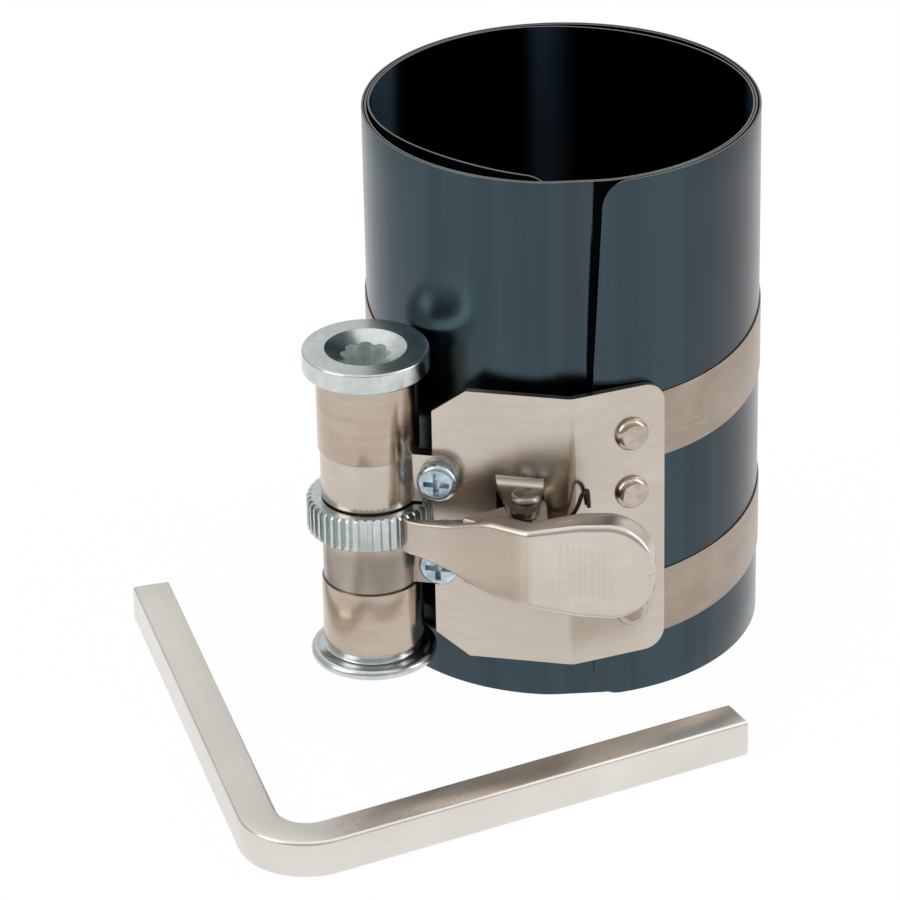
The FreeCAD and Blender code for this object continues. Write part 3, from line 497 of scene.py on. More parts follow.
@dataclass(frozen=True)
class LeverFinishAndPaintedShade(MetalFinish):
    """Nickel with painted shade that makes the lever's web a little darker than its pad, for the darker
    surround that the web mirrors, with places in millimetres.

    Attributes:
        web: Tone of the painted shade on the web.
        bend: Places between which that tone fades out, to the right.
        nose: Places between which it grows on from the nose.
        nose_share: Its share at the nose.
        more: How much that share grows by.
    """

    web: Tone = tone(176, 164, 152)
    bend: Pair = (-5.0, -8.5)
    nose: Pair = (-20.0, -13.0)
    nose_share: float = 0.6
    more: float = 0.3

    def colour(self, graph: Graph, mottle: Wire, grain: Wire) -> Wire:
        """Paint shade on what lies left of the bend, most of all beside it.

        Args:
            graph: The material's tree.
            mottle: Pattern of the patches.
            grain: Pattern of the grain.

        Returns:
            The colour's socket.
        """
        across = graph.along(0)
        # Painted shade on the web, standing in for the darker surround that it mirrors.
        share = across.below(*self.bend) * (self.nose_share + across.within(*self.nose) * self.more)
        return graph.blend(share, super().colour(graph, mottle, grain), self.web)


BLUED = BluedFinishAndPaintedShade(
    "blued_steel", tone(66, 81, 88), tone(59, 73, 80), gloss=0.22, gloss_spread=0.08,
    grain=(260.0, 260.0, 4.0), grain_depth=6e-7, mottle=45.0, mottle_share=0.3, tone_step=(0.36, 0.66),
    scratches=0.06,
)
BAND = MetalFinish(
    "band_nickel", tone(172, 158, 145), tone(158, 144, 131), gloss=0.3, gloss_spread=0.08,
    grain=(120.0, 120.0, 1800.0), grain_depth=1e-6, scratches=0.08,
)
WOUND = MetalFinish(
    "wound_nickel", tone(194, 180, 166), tone(182, 167, 152), gloss=0.17, gloss_spread=0.08,
    grain=(70.0, 70.0, 900.0), grain_depth=6e-7, mottle=120.0, scratches=0.06,
)
PLATE = PlateFinishAndPaintedShade(
    "plate_nickel", tone(207, 196, 185), tone(198, 187, 175), gloss=0.23, gloss_spread=0.08,
    grain=(240.0, 240.0, 700.0), grain_depth=6e-7, mottle=70.0, scratches=0.08,
)
LEVER = LeverFinishAndPaintedShade(
    "lever_nickel", tone(212, 203, 193), tone(204, 194, 184), gloss=0.25, gloss_spread=0.08,
    grain=(220.0, 220.0, 600.0), grain_depth=6e-7, mottle=90.0, scratches=0.08,
)
RIVET = MetalFinish(
    "rivet_nickel", tone(200, 188, 176), tone(180, 167, 154), gloss=0.18, mottle=400.0,
    grain_depth=1e-6, scratches=0.1,
)
ZINC = MetalFinish(
    "zinc", tone(212, 218, 217), tone(196, 203, 203), gloss=0.2, gloss_spread=0.1,
    grain=(1100.0, 1100.0, 1100.0), grain_depth=1.6e-6, mottle=300.0, scratches=0.12,
)
SOCKET = MetalFinish(
    "socket_zinc", tone(222, 234, 229), tone(184, 198, 193), metallic=0.2, gloss=0.4, mottle=300.0,
)
SCREW = MetalFinish(
    "screw_zinc", tone(206, 220, 228), tone(160, 178, 190), gloss=0.18, mottle=600.0, scratches=0.1,
)
PIN = MetalFinish(
    "pin_steel", tone(180, 176, 172), tone(126, 120, 116), gloss=0.26, mottle=500.0, grain_depth=3e-6,
)
SPRING = MetalFinish("spring_steel", tone(70, 63, 58), tone(40, 36, 33), gloss=0.3, mottle=500.0)
KEY = MetalFinish(
    "key_nickel", tone(229, 225, 219), tone(220, 215, 208), gloss=0.27, gloss_spread=0.08,
    grain=(12.0, 1500.0, 1.0), grain_depth=9e-7, mottle=70.0, scratches=0.08, pattern=Pattern.UV,
)


def put_in_scene(name: str, data: bpy.types.ID) -> bpy.types.Object:
    """Make an object of a mesh, lamp or camera, and link it to the scene.

    Args:
        name: The object's name.
        data: What it shows.

    Returns:
        The object, at the origin.
    """
    made = bpy.data.objects.new(name, data)
    bpy.context.scene.collection.objects.link(made)
    return made


def distance_run(points: np.ndarray) -> np.ndarray:
    """Give the distance run at each point of a line: the sum of its steps' lengths up to there."""
    return np.concatenate([[0.0], np.cumsum(np.linalg.norm(np.diff(points, axis=0), axis=1))])


def evened(points: np.ndarray, count: int) -> np.ndarray:
    """Take points at even distances along a line in plan.

    Args:
        points: The line's points by two.
        count: How many points to take.

    Returns:
        The new points by two.
    """
    length = distance_run(points)
    even = np.linspace(0.0, length[-1], count)
    return np.stack([np.interp(even, length, points[:, axis]) for axis in (0, 1)], axis=1)


def smoothed(values: np.ndarray, window: int) -> np.ndarray:
    """Average each value with its neighbours, weighed by a raised cosine, with both ends kept.

    Args:
        values: One row of values.
        window: How many values are averaged, an odd number.

    Returns:
        As many values.
    """
    kernel = np.hanning(window + 2)[1:-1]
    padded = np.pad(values, window // 2, mode="reflect", reflect_type="odd")
    return np.convolve(padded, kernel / kernel.sum(), "valid")


def unit(vectors: np.ndarray) -> np.ndarray:
    """Bring each vector to the length of 1."""
    return vectors / np.linalg.norm(vectors, axis=-1, keepdims=True)


def on_circle(centre: Sequence[float], radius: np.ndarray | float, angle: np.ndarray) -> np.ndarray:
    """Give points in plan: the centre plus the radius times the angle's cosine and sine.

    Args:
        centre: The circle's centre, of which the first two numbers count.
        radius: One radius, or one to an angle.
        angle: Angles in radians.

    Returns:
        The points, with a last axis of two.
    """
    return np.stack([centre[0] + radius * np.cos(angle), centre[1] + radius * np.sin(angle)], axis=-1)


def ring_faces(rows: int, columns: int, closed: bool = False) -> list[tuple[int, ...]]:
    """Join closed rings of points, one after another, by quads, with a cap at each open end.

    Args:
        rows: How many rings there are.
        columns: How many points each ring has.
        closed: Whether the last ring joins the first one.

    Returns:
        The faces, all with the same sense of turn.
    """
    row = np.arange(rows if closed else rows - 1)[:, None]
    column = np.arange(columns)[None, :]
    following, beside = (row + 1) % rows, (column + 1) % columns
    quads = np.stack([
        row * columns + column, row * columns + beside,
        following * columns + beside, following * columns + column,
    ], axis=-1).reshape(-1, 4)
    faces = [tuple(quad) for quad in quads.tolist()]
    if not closed:
        faces.append(tuple(range(columns - 1, -1, -1)))
        faces.append(tuple(range((rows - 1) * columns, rows * columns)))
    return faces


def solid_from_rings(
    name: str, rings: np.ndarray, sharp: float = 50.0, closed: bool = False, mark: np.ndarray | None = None,
) -> bpy.types.Object:
    """Make a closed solid from rings of points in millimetres, with outward faces and a UV map.

    Args:
        name: The piece's name.
        rings: Points as rings by points by three.
        sharp: Angle in degrees past which an edge stays sharp.
        closed: Whether the last ring joins the first one.
        mark: A number for each point that a finish may read, as rings by points.

    Returns:
        The piece, with its place in its mesh.
    """
    rows, columns = rings.shape[:2]
    mesh = bpy.data.meshes.new(name)
    mesh.from_pydata((rings.reshape(-1, 3) * MM).tolist(), [], ring_faces(rows, columns, closed))
    # A corner's u is the distance along the path, and its v the distance round the ring.
    along, around = distance_run(rings.mean(1)), distance_run(rings[0])
    corner = np.zeros(len(mesh.loops), np.int32)
    mesh.loops.foreach_get("vertex_index", corner)
    flat = np.stack([along[corner // columns], around[corner % columns]], axis=1) * MM
    mesh.uv_layers.new(name="along").data.foreach_set("uv", flat.astype(np.float32).ravel())
    build = bmesh.new()
    build.from_mesh(mesh)
    bmesh.ops.recalc_face_normals(build, faces=build.faces)
    build.to_mesh(mesh)
    build.free()
    if mark is not None:
        attribute = mesh.attributes.new(MARK, "FLOAT", "POINT")
        attribute.data.foreach_set("value", mark.astype(np.float32).ravel())
    mesh.shade_smooth()
    mesh.set_sharp_from_angle(angle=math.radians(sharp))
    return put_in_scene(name, mesh)


def softened(points: Sequence[Pair], reach: float, closed: bool) -> np.ndarray:
    """Round each corner of an outline by a curve that leaves its two sides at a distance from it.

    Each curve is the corner's own quadratic: start, corner and end weighed by (1-t)^2, 2t(1-t), t^2.

    Args:
        points: Corners in order.
        reach: How far from a corner its curve starts, at most 0.45 of a side.
        closed: Whether the last corner joins the first one.

    Returns:
        The outline's points by two.
    """
    corner = np.array(points, float)
    step = []
    for other in (1, -1):
        side = np.roll(corner, other, axis=0) - corner
        length = np.linalg.norm(side, axis=1)[:, None]
        step.append(side / length * np.minimum(reach, 0.45 * length))
    share = np.linspace(0.0, 1.0, 5)[None, :, None]
    curve = corner[:, None] + step[0][:, None] * (1 - share) ** 2 + step[1][:, None] * share ** 2
    if closed:
        return curve.reshape(-1, 2)
    return np.concatenate([corner[:1], curve[1:-1].reshape(-1, 2), corner[-1:]])


def turned(centre: Triple, profile: np.ndarray, count: int = 160) -> np.ndarray:
    """Turn a profile of radius and height round an upright axis.

    Args:
        centre: Where the axis crosses the height of zero.
        profile: The profile's points by two.
        count: How many points a ring has.

    Returns:
        Points as rings by points by three.
    """
    angle = np.linspace(0.0, ROUND, count, endpoint=False)[None, :]
    plan = on_circle(centre, profile[:, :1], angle)
    height = np.broadcast_to(centre[2] + profile[:, 1:], plan.shape[:2])
    return np.concatenate([plan, height[..., None]], axis=-1)


def rounded_ring(
    half_thick: float, low: np.ndarray, high: np.ndarray, edge: float, rows: int = 0,
) -> tuple[np.ndarray, np.ndarray]:
    """Give a strip's cross-section: a thin upright rectangle whose corners are quarter circles.

    Args:
        half_thick: Half of the sheet's thickness.
        low: Lower edge's height at each station.
        high: Upper edge's height at each station.
        edge: Radius of the rounded edges.
        rows: How many more rows of points each face has, evenly spaced.

    Returns:
        Offsets through the sheet, and heights, each as stations by points.
    """
    turn = np.radians(np.array([0.0, 30.0, 60.0, 90.0]))
    out, up = edge * np.cos(turn), edge * np.sin(turn)
    body = half_thick - edge
    face = np.full(rows, half_thick)
    offset = np.concatenate([body + out, -body - out[::-1], -face, -body - out, body + out[::-1], face])
    rise = np.concatenate([up - edge, (up - edge)[::-1]])
    top = high[:, None] + rise[None, :]
    bottom = low[:, None] - rise[None, :]
    share = np.linspace(0.0, 1.0, rows + 2)[None, 1:-1]
    between = low[:, None] * (1 - share) + high[:, None] * share
    return np.tile(offset, (len(low), 1)), np.concatenate([top, between[:, ::-1], bottom, between], axis=1)


class Dresser:
    """Puts a finish on each piece and ties it to its body and its node."""

    def __init__(self, nodes: dict[str, bpy.types.Object]) -> None:
        """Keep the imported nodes."""
        self.nodes = nodes

    def dress(
        self, piece: bpy.types.Object, finish: MetalFinish, body: Body, slot: str, *stands_for: str,
    ) -> None:
        """Finish a piece and let it ride.

        Args:
            piece: The piece, in place.
            finish: Its metal.
            body: The body that it moves with.
            slot: The record's material slot; not used.
            *stands_for: Nodes that it replaces.
        """
        piece.data.materials.clear()
        piece.data.materials.append(finish.build())
        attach(piece, body.value)
        if stands_for:
            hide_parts(*stands_for)
        LOG.info("%s: %d faces, %s on %s", piece.name, len(piece.data.polygons), finish.name, body.value)

    def copy(self, node: str, width: float, steps: int = 2, angle: float = 28.0) -> bpy.types.Object:
        """Merge a copy of a node's mesh, and bevel its sharp edges.

        Args:
            node: The node to copy.
            width: Bevel width in millimetres.
            steps: Segments of the bevel.
            angle: Least angle in degrees of an edge that is bevelled.

        Returns:
            The copy, still without a finish.
        """
        mesh = self.nodes[node].data.copy()
        mesh.name = f"{node}_dressed"
        build = bmesh.new()
        build.from_mesh(mesh)
        bmesh.ops.remove_doubles(build, verts=build.verts, dist=2e-6)
        bmesh.ops.dissolve_limit(
            build, angle_limit=math.radians(0.5), verts=build.verts, edges=build.edges, delimit={"NORMAL"},
        )
        build.to_mesh(mesh)
        build.free()
        mesh.shade_smooth()
        piece = put_in_scene(f"{node}_dressed", mesh)
        bevel = piece.modifiers.new("edges", "BEVEL")
        bevel.width, bevel.segments = width * MM, steps
        bevel.limit_method, bevel.angle_limit = "ANGLE", math.radians(angle)
        bevel.miter_outer = "MITER_ARC"
        normals = piece.modifiers.new("even_shading", "WEIGHTED_NORMAL")
        normals.keep_sharp, normals.weight = False, 80
        return piece


@dataclass
class Sleeve:
    """The spiral strip of blued spring steel.  Angles are wound from its outer end.

    Attributes:
        height: Height of the strip.
        radius: Outside radius at the outer end.
        sheet: Thickness.
        turns: How many turns it is wound.
        first_drop: How much the radius falls in the first turn.
        next_drop: How much it falls in each further turn.
        start: Direction of the outer end.
        corner: Radius of the strip's four corners.
        dips: Depth, middle and half-width of each place where an inner layer springs in.
        crease: Greatest depth of the groove beside the outer end.
        crease_azimuth: Direction of the groove.
        crease_spread: Half of its width.
        crease_foot: Its share at the foot before the fall.
        crease_fall: What that share is multiplied by at the foot, and how much less at the top.
        lean_heights: Heights at which the outer end's lean is given.
        lean_turns: The lean there.
        lean_fade: Angle within which the lean dies away.
        edge: Radius of the rims' edges.
        rows: Rows of points on each face.
        step: Angle between two rings.
        fine: Angles between which the rings stand closer.
        fine_step: Angle between two rings there.
        gap_heights: Heights at which the width of the painted shadow in the gap beside the outer end is
            given.
        gap_widths: The width there, as an angle.
        gap_end: Angle at which that painted shadow ends, under the outer end.
        gap_fade: Angle over which its other side fades.
    """

    height: float = 80.0
    radius: float = 28.2
    sheet: float = 0.3
    turns: float = 2.967
    first_drop: float = 0.55
    next_drop: float = 0.38
    start: float = -82.0
    corner: float = 3.6
    dips: tuple[Triple, ...] = ((2.6, 1034.5, 59.0), (0.95, 864.0, 55.0))
    crease: float = 0.75
    crease_azimuth: float = -87.0
    crease_spread: float = 13.0
    crease_foot: float = 0.35
    crease_fall: Pair = (1.3, 0.85)
    lean_heights: Triple = (0.0, 50.0, 80.0)
    lean_turns: Triple = (-1.0, -1.0, 2.3)
    lean_fade: float = 50.0
    edge: float = 0.07
    rows: int = 14
    step: float = 1.5
    fine: Pair = (354.0, 370.5)
    fine_step: float = 0.25
    gap_heights: tuple[float, ...] = (14.0, 50.0, 67.0, 77.0)
    gap_widths: tuple[float, ...] = (0.0, 3.0, 1.9, 0.6)
    gap_end: float = 370.0
    gap_fade: float = 0.5

    def middle(self, angle: np.ndarray) -> np.ndarray:
        """Radius of the strip's middle: it falls with each turn, and dips by squared cosines.

        Args:
            angle: Degrees wound.

        Returns:
            The radius at each angle.
        """
        turns = angle / 360.0
        drop = self.first_drop * np.minimum(turns, 1.0) + self.next_drop * np.maximum(turns - 1.0, 0.0)
        radius = self.radius - self.sheet / 2 - drop
        for depth, centre, spread in self.dips:
            offset = np.clip((angle - centre) / spread, -1.0, 1.0)
            radius = radius - depth * np.cos(offset * math.pi / 2) ** 2
        return radius

    def groove(self, angle: np.ndarray, height: np.ndarray) -> np.ndarray:
        """Depth by which the inner layers stand back beside the outer end.

        It is a squared cosine across, times a share of the height that is less at the foot and the top.

        Args:
            angle: Degrees wound, one to a station.
            height: Height of each point.

        Returns:
            The depth at each point.
        """
        away = (self.start + angle - self.crease_azimuth + 180.0) % 360.0 - 180.0
        bell = np.cos(np.clip(away / self.crease_spread, -1.0, 1.0) * math.pi / 2) ** 2
        deep = np.where(angle > 200.0, self.crease, 0.0) * bell
        level = height / self.height
        most, fall = self.crease_fall
        return deep[:, None] * np.clip(self.crease_foot + level, 0.0, 1.0) * (most - fall * level)

    def rings(self, angle: np.ndarray, offset: np.ndarray, height: np.ndarray) -> np.ndarray:
        """Wind cross-sections round the axis: radius times the angle's cosine and sine.

        Near the outer end the strip leans a little: the angle grows with the height.

        Args:
            angle: Degrees wound, one to a station.
            offset: Distance outwards from the strip's middle, stations by points.
            height: Height of each point, stations by points.

        Returns:
            Points as stations by points by three.
        """
        fade = np.clip(1.0 - angle / self.lean_fade, 0.0, 1.0)[:, None]
        lean = np.interp(height, self.lean_heights, self.lean_turns) * fade
        azimuth = np.radians(self.start + angle[:, None] + lean)
        radius = self.middle(angle)[:, None] + offset - self.groove(angle, height)
        return np.concatenate([on_circle((0.0, 0.0), radius, azimuth), height[..., None]], axis=-1)

    def stations(self) -> tuple[np.ndarray, np.ndarray]:
        """Choose the rings' places: closer at both ends and beside the outer end.

        Returns:
            Degrees wound, and how far the rounded corners cut both rims back there.
        """
        last = 360.0 * self.turns
        fan = self.corner * (1.0 - np.cos(np.radians(np.linspace(0.0, 90.0, 15))))
        first_end, last_end = (np.degrees(fan / self.middle(np.array([end]))[0]) for end in (0.0, last))
        fine = np.arange(*self.fine, self.fine_step)
        even = np.arange(first_end[-1] + self.step, last - last_end[-1] - 1.0, self.step)
        even = even[(even < self.fine[0] - 0.2) | (even > self.fine[1] - 0.1)]
        angle = np.sort(np.concatenate([first_end, even, fine, last - last_end[::-1]]))
        from_end = np.radians(np.minimum(angle, last - angle)) * self.middle(angle)
        inside = np.clip(self.corner - from_end, 0.0, self.corner)
        return angle, self.corner - np.sqrt(np.maximum(self.corner ** 2 - inside ** 2, 0.0))

    def marks(self, angle: np.ndarray, offset: np.ndarray, height: np.ndarray) -> np.ndarray:
        """Mark each point for the finish, by its place in the strip's thickness and by its angle, which
        also sets the painted shadow in the gap beside the outer end.

        Args:
            angle: Degrees wound, one to a station.
            offset: Distance outwards from the strip's middle, stations by points.
            height: Height of each point, stations by points.

        Returns:
            The mark of each point.
        """
        # Painted shadow: points of the outer face just before the outer end take the inside's dark tone,
        # across the gap's width.
        wide = np.interp(height, self.gap_heights, self.gap_widths)
        gap = np.clip((angle[:, None] - (360.0 - wide)) / self.gap_fade, 0.0, 1.0)
        gap = gap * (angle[:, None] < self.gap_end) * (wide > 0.0)
        rim = np.abs(offset) < self.sheet / 2 - 0.01
        return np.where(rim, Mark.RIM, np.maximum(Mark.GAP * gap, Mark.INSIDE * (offset < 0.0)))

    def build(self, dresser: Dresser) -> None:
        """Make the strip.

        Args:
            dresser: Where the piece gets its finish.
        """
        angle, cut = self.stations()
        offset, height = rounded_ring(self.sheet / 2, cut, self.height - cut, self.edge, self.rows)
        marks = self.marks(angle, offset, height)
        piece = solid_from_rings("sleeve_strip", self.rings(angle, offset, height), 70.0, mark=marks)
        dresser.dress(piece, BLUED, Body.FRAME, "blued_steel", "sleeve")


@dataclass(frozen=True)
class Hoop:
    """How one band lies round the sleeve.

    Attributes:
        side: Which band it is.
        level: Height of the hoop's plane at the sleeve's axis.
        tilt: Lean of that plane.
        azimuth: Direction in which it rises.
    """

    side: Side
    level: float
    tilt: float
    azimuth: float


@dataclass
class Bands:
    """The two tension bands round the sleeve, and what is wound of them on the drum.

    Attributes:
        sleeve: The sleeve that they lie on.
        axes: Where the spindle stands.
        hoops: How each band lies.
        width: Width of a band.
        sheet: Thickness of a band.
        seat: Gap between band and sleeve.
        first: Angle from the sleeve's outer end at which a band starts.
        drum: Outside radius of a winding.
        shaft: Inside radius of a winding.
        gap: Gap between pieces on the spindle.
        ear: Height of the ears' outer sides over the middle.
        layers: How many layers are wound.
        spare: How much further up the upper winding reaches, to the head flange.
        edge: Radius of a band's edges.
    """

    sleeve: Sleeve
    axes: Axes
    hoops: tuple[Hoop, ...] = (Hoop(Side.UPPER, 45.9, 8.35, 100.0), Hoop(Side.LOWER, 16.2, 6.1, 81.0))
    width: float = 9.8
    sheet: float = 0.2
    seat: float = 0.02
    first: float = 3.0
    drum: float = 7.2
    shaft: float = 5.74
    gap: float = 0.2
    ear: float = 10.1
    layers: int = 7
    spare: float = 2.0
    edge: float = 0.05

    def leave(self) -> float:
        """Angle where a band leaves the sleeve: the line that crosses between sleeve and drum.

        Returns:
            Degrees wound from the sleeve's outer end.
        """
        across, depth = self.axes.spindle[:2]
        toward = math.degrees(math.atan2(depth, across)) % 360
        angle = 200.0
        for _ in range(20):
            around = float(self.sleeve.middle(np.array([angle]))[0]) + self.sleeve.sheet / 2 + self.seat
            opening = math.acos((around + self.drum + self.gap / 2) / math.hypot(across, depth))
            angle = toward - math.degrees(opening) - self.sleeve.start
        return angle

    def drum_level(self, side: Side) -> float:
        """Give the height of a drum's middle."""
        return self.axes.spindle[2] + side.value * (self.ear + self.gap + self.width / 2)

    def band(self, dresser: Dresser, hoop: Hoop) -> None:
        """Make one band: a leaning hoop on the sleeve and a straight run to the drum.

        The hoop's height is its level plus the tilt's tangent times the distance towards its azimuth.

        Args:
            dresser: Where the piece gets its finish.
            hoop: How the band lies.
        """
        angle = np.linspace(self.first, self.leave(), 220)
        tilt, away = math.radians(hoop.tilt), np.radians(self.sleeve.start + angle)
        uphill = self.sleeve.middle(angle) * np.cos(away - math.radians(hoop.azimuth))
        middle = hoop.level + math.tan(tilt) * uphill
        half = self.width / 2 / math.cos(tilt)
        offset, height = rounded_ring(self.sheet / 2, middle - half, middle + half, self.edge)
        inner = self.sleeve.sheet / 2 + self.seat + self.sheet / 2
        wound = self.sleeve.rings(angle, offset + inner, height)
        # The run's last ring lies on the drum, turned face about, and the rest are even steps to it.
        out = np.array([math.cos(away[-1]), math.sin(away[-1])])
        end_radius = self.drum + self.gap / 2 + self.sheet / 2 - offset[-1]
        plan = np.array(self.axes.spindle[:2]) - out * end_radius[:, None]
        rise = self.drum_level(hoop.side) + (height[-1] - middle[-1]) * math.cos(tilt)
        last = np.concatenate([plan, rise[:, None]], axis=1)
        share = np.linspace(0.0, 1.0, 8)[1:, None, None]
        run = wound[-1] * (1 - share) + last * share
        name = hoop.side.of("band")
        piece = solid_from_rings(f"{name}_strip", np.concatenate([wound, run]))
        dresser.dress(piece, BAND, Body.FRAME, "nickel_band", name)

    def winding(self, dresser: Dresser, side: Side) -> None:
        """Make the wound turns: an even spiral from the shaft to the drum's outside.

        Args:
            dresser: Where the piece gets its finish.
            side: Which drum it is.
        """
        pitch = (self.drum - self.shaft) / self.layers
        spaces = self.layers - 1
        end = math.atan2(-self.axes.spindle[1], -self.axes.spindle[0])
        turn = np.linspace(0.0, ROUND * spaces, 96 * spaces + 1)
        radius = self.drum - pitch / 2 - pitch * (1.0 - turn / turn[-1]) * spaces
        low = np.full_like(turn, self.drum_level(side) - self.width / 2)
        high = low + self.width + (self.spare if side is Side.UPPER else 0.0)
        offset, height = rounded_ring(pitch * 0.47, low, high, self.edge * 0.8)
        plan = on_circle(self.axes.spindle, radius[:, None] + offset, (end + turn - turn[-1])[:, None])
        name = side.of("band_winding")
        piece = solid_from_rings(f"{name}_turns", np.concatenate([plan, height[..., None]], axis=-1))
        dresser.dress(piece, WOUND, Body.SPINDLE, "nickel_band", name)

    def build(self, dresser: Dresser) -> None:
        """Make both bands and both windings.

        Args:
            dresser: Where the pieces get their finish.
        """
        for hoop in self.hoops:
            self.band(dresser, hoop)
        for side in Side:
            self.winding(dresser, side)


@dataclass
class PawlSpring:
    """Torsion spring round the pawl pin.

    Attributes:
        pin: Middle of the coil.
        radius: Mean radius of the coil.
        wire: Radius of the wire.
        coils: Turns of the coil.
        pitch: Height of one turn.
        lever_leg: Length of the leg on the lever.
        hook: Points of the other leg, which hooks on the plate.
        upright: Direction that no stretch of the wire runs in, from which its rings are turned.
    """

    pin: Triple
    radius: float = 1.95
    wire: float = 0.3
    coils: float = 4.0
    pitch: float = 0.75
    lever_leg: float = 7.7
    hook: tuple[Triple, ...] = (
        (-3.7, -32.9, 30.75), (-2.2, -32.8, 30.9), (-0.4, -33.6, 31.6), (0.9, -33.6, 33.4),
        (1.7, -32.9, 35.2), (2.4, -31.9, 35.3), (2.6, -31.3, 34.0), (2.7, -30.9, 32.2),
    )
    upright: Triple = (0.2, 0.06, 1.0)

    def path(self) -> np.ndarray:
        """Run down a straight leg, up a helix and along the hooked leg.

        Each stretch of the hooked leg is the cubic through its two points whose slope at each is
        half of the step between that point's neighbours.

        Returns:
            Points by three.
        """
        turn = np.linspace(0.0, ROUND * self.coils, 161)
        rise = turn / ROUND * self.pitch - self.coils * self.pitch / 2
        coil = np.concatenate([on_circle((0.0, 0.0), self.radius, turn), rise[:, None]], axis=1)
        first = np.linspace(1.0, 0.0, 9)[:-1, None] * np.array([[0.0, -self.lever_leg, 0.0]]) + coil[0]
        hook = np.array(self.hook) - np.array(self.pin)
        knots = np.concatenate([coil[-1:] - [[0.0, 0.4, 0.0]], coil[-1:], hook, hook[-1:]])
        share = np.linspace(0.0, 1.0, 9)[1:, None]
        leg = [
            0.5 * (2 * b + (c - a) * share + (2 * a - 5 * b + 4 * c - d) * share ** 2
                   + (3 * b - a - 3 * c + d) * share ** 3)
            for a, b, c, d in zip(knots, knots[1:], knots[2:], knots[3:])
        ]
        return np.concatenate([first, coil, *leg]) + np.array(self.pin)

    def build(self, dresser: Dresser) -> None:
        """Carry a circle along the wire's path, square to it.

        Args:
            dresser: Where the piece gets its finish.
        """
        path = self.path()
        along = unit(np.gradient(path, axis=0))
        side = unit(np.cross(along, np.array(self.upright)))
        up = np.cross(side, along)
        around = np.linspace(0.0, ROUND, 14, endpoint=False)[None, :, None]
        rings = path[:, None] + self.wire * (np.cos(around) * side[:, None] + np.sin(around) * up[:, None])
        piece = solid_from_rings("pawl_spring_wire", rings)
        dresser.dress(piece, SPRING, Body.FRAME, "spring_steel", "pawl_spring")


@dataclass
class DrumMetal:
    """Spindle with its head flange, and the cupped flange at its lower end.

    Attributes:
        centre: Where the spindle's axis crosses the middle.
        shaft: Radius of the shaft.
        chamfer: Chamfer at the shaft's lower end.
        collar: Radius of the collar under the head.
        stack: Height over the middle up to which pieces sit on the shaft.
        tail: How far the shaft reaches past them below.
        head: Radius of the head flange.
        top: Height of its top.
        step: Size of its broken edges.
        mouth: Radius of the countersink at the top.
        fall: How much the countersink falls to a millimetre inwards.
        socket_half: Half of the double square's width.
        socket_reach: Radius at which its corners are cut.
        socket_floor: Depth of its floor.
        directions: How many points a ring has.
        cup: Radius and height of the end flange's corners, from its bore outwards and back.
    """

    centre: Triple
    shaft: float = 5.72
    chamfer: float = 0.6
    collar: float = 5.73
    stack: float = 21.6
    tail: float = 2.5
    head: float = 8.87
    top: float = 25.25
    step: float = 0.2
    mouth: float = 5.6
    fall: float = 0.4
    socket_half: float = 2.81
    socket_reach: float = 3.5
    socket_floor: float = 11.9
    directions: int = 240
    cup: tuple[Pair, ...] = (
        (5.74, -23.2), (8.0, -23.2), (8.9, -22.8), (8.95, -21.95), (8.4, -21.45), (7.6, -21.65),
        (6.7, -21.65), (6.4, -21.3), (6.4, -20.1), (5.74, -20.1),
    )

    def outside(self) -> np.ndarray:
        """Draw the spindle's profile from its lower end up to the countersink's mouth.

        Returns:
            Radius and height of each point.
        """
        low, base, step = -self.stack - self.tail, self.stack + 0.6, self.step
        return softened([
            (self.shaft - self.chamfer, low), (self.shaft, low + self.chamfer),
            (self.shaft, self.stack - 1.5), (self.collar, self.stack - 1.5),
            (self.collar, base), (self.head - step, base),
            (self.head, base + step), (self.head, self.top - step), (self.head - 0.17, self.top - 0.02),
            (self.head - 0.5, self.top), (self.mouth + 0.1, self.top), (self.mouth - step, self.top - step),
        ], 0.1, False)

    def socket(self) -> np.ndarray:
        """Run down the socket's walls: the further of two squares by direction, cut by a circle.

        The cone meets the walls where its radius is theirs, so their upper edge rises at the corners.

        Returns:
            Three rings of points: the edge, one just under it, and the floor.
        """
        angle = np.linspace(0.0, ROUND, self.directions, endpoint=False)
        squares = [
            self.socket_half / np.maximum(np.abs(np.cos(angle + turn)), np.abs(np.sin(angle + turn)))
            for turn in (0.0, math.pi / 4)
        ]
        reach = np.minimum(np.maximum(*squares), self.socket_reach)
        plan = on_circle(self.centre, reach, angle)
        edge = self.top - self.step - (self.mouth - self.step - reach) * self.fall
        levels = (edge, edge - 0.4, np.full(self.directions, self.top - self.socket_floor))
        return np.stack([np.column_stack([plan, self.centre[2] + level]) for level in levels])

    def build(self, dresser: Dresser) -> None:
        """Make the spindle, whose socket keeps the duller finish of its broaching, and the end flange.

        Args:
            dresser: Where the pieces get their finish.
        """
        outside = self.outside()
        rings = np.concatenate([turned(self.centre, outside, self.directions), self.socket()])
        piece = solid_from_rings("spindle_turned", rings, 38.0)
        dresser.dress(piece, ZINC, Body.SPINDLE, "zinc_spindle", "spindle")
        piece.data.materials.append(SOCKET.build())
        # The faces come ring by ring, with the shaft's lower end and the socket's floor last.
        part = np.zeros(len(piece.data.polygons), np.int32)
        part[len(outside) * self.directions:] = 1
        part[-2] = 0
        piece.data.polygons.foreach_set("material_index", part)
        rings = turned(self.centre, softened(self.cup, 0.3, True))
        piece = solid_from_rings("end_flange_cup", rings, 60.0, closed=True)
        dresser.dress(piece, ZINC, Body.SPINDLE, "zinc_spindle", "end_flange")


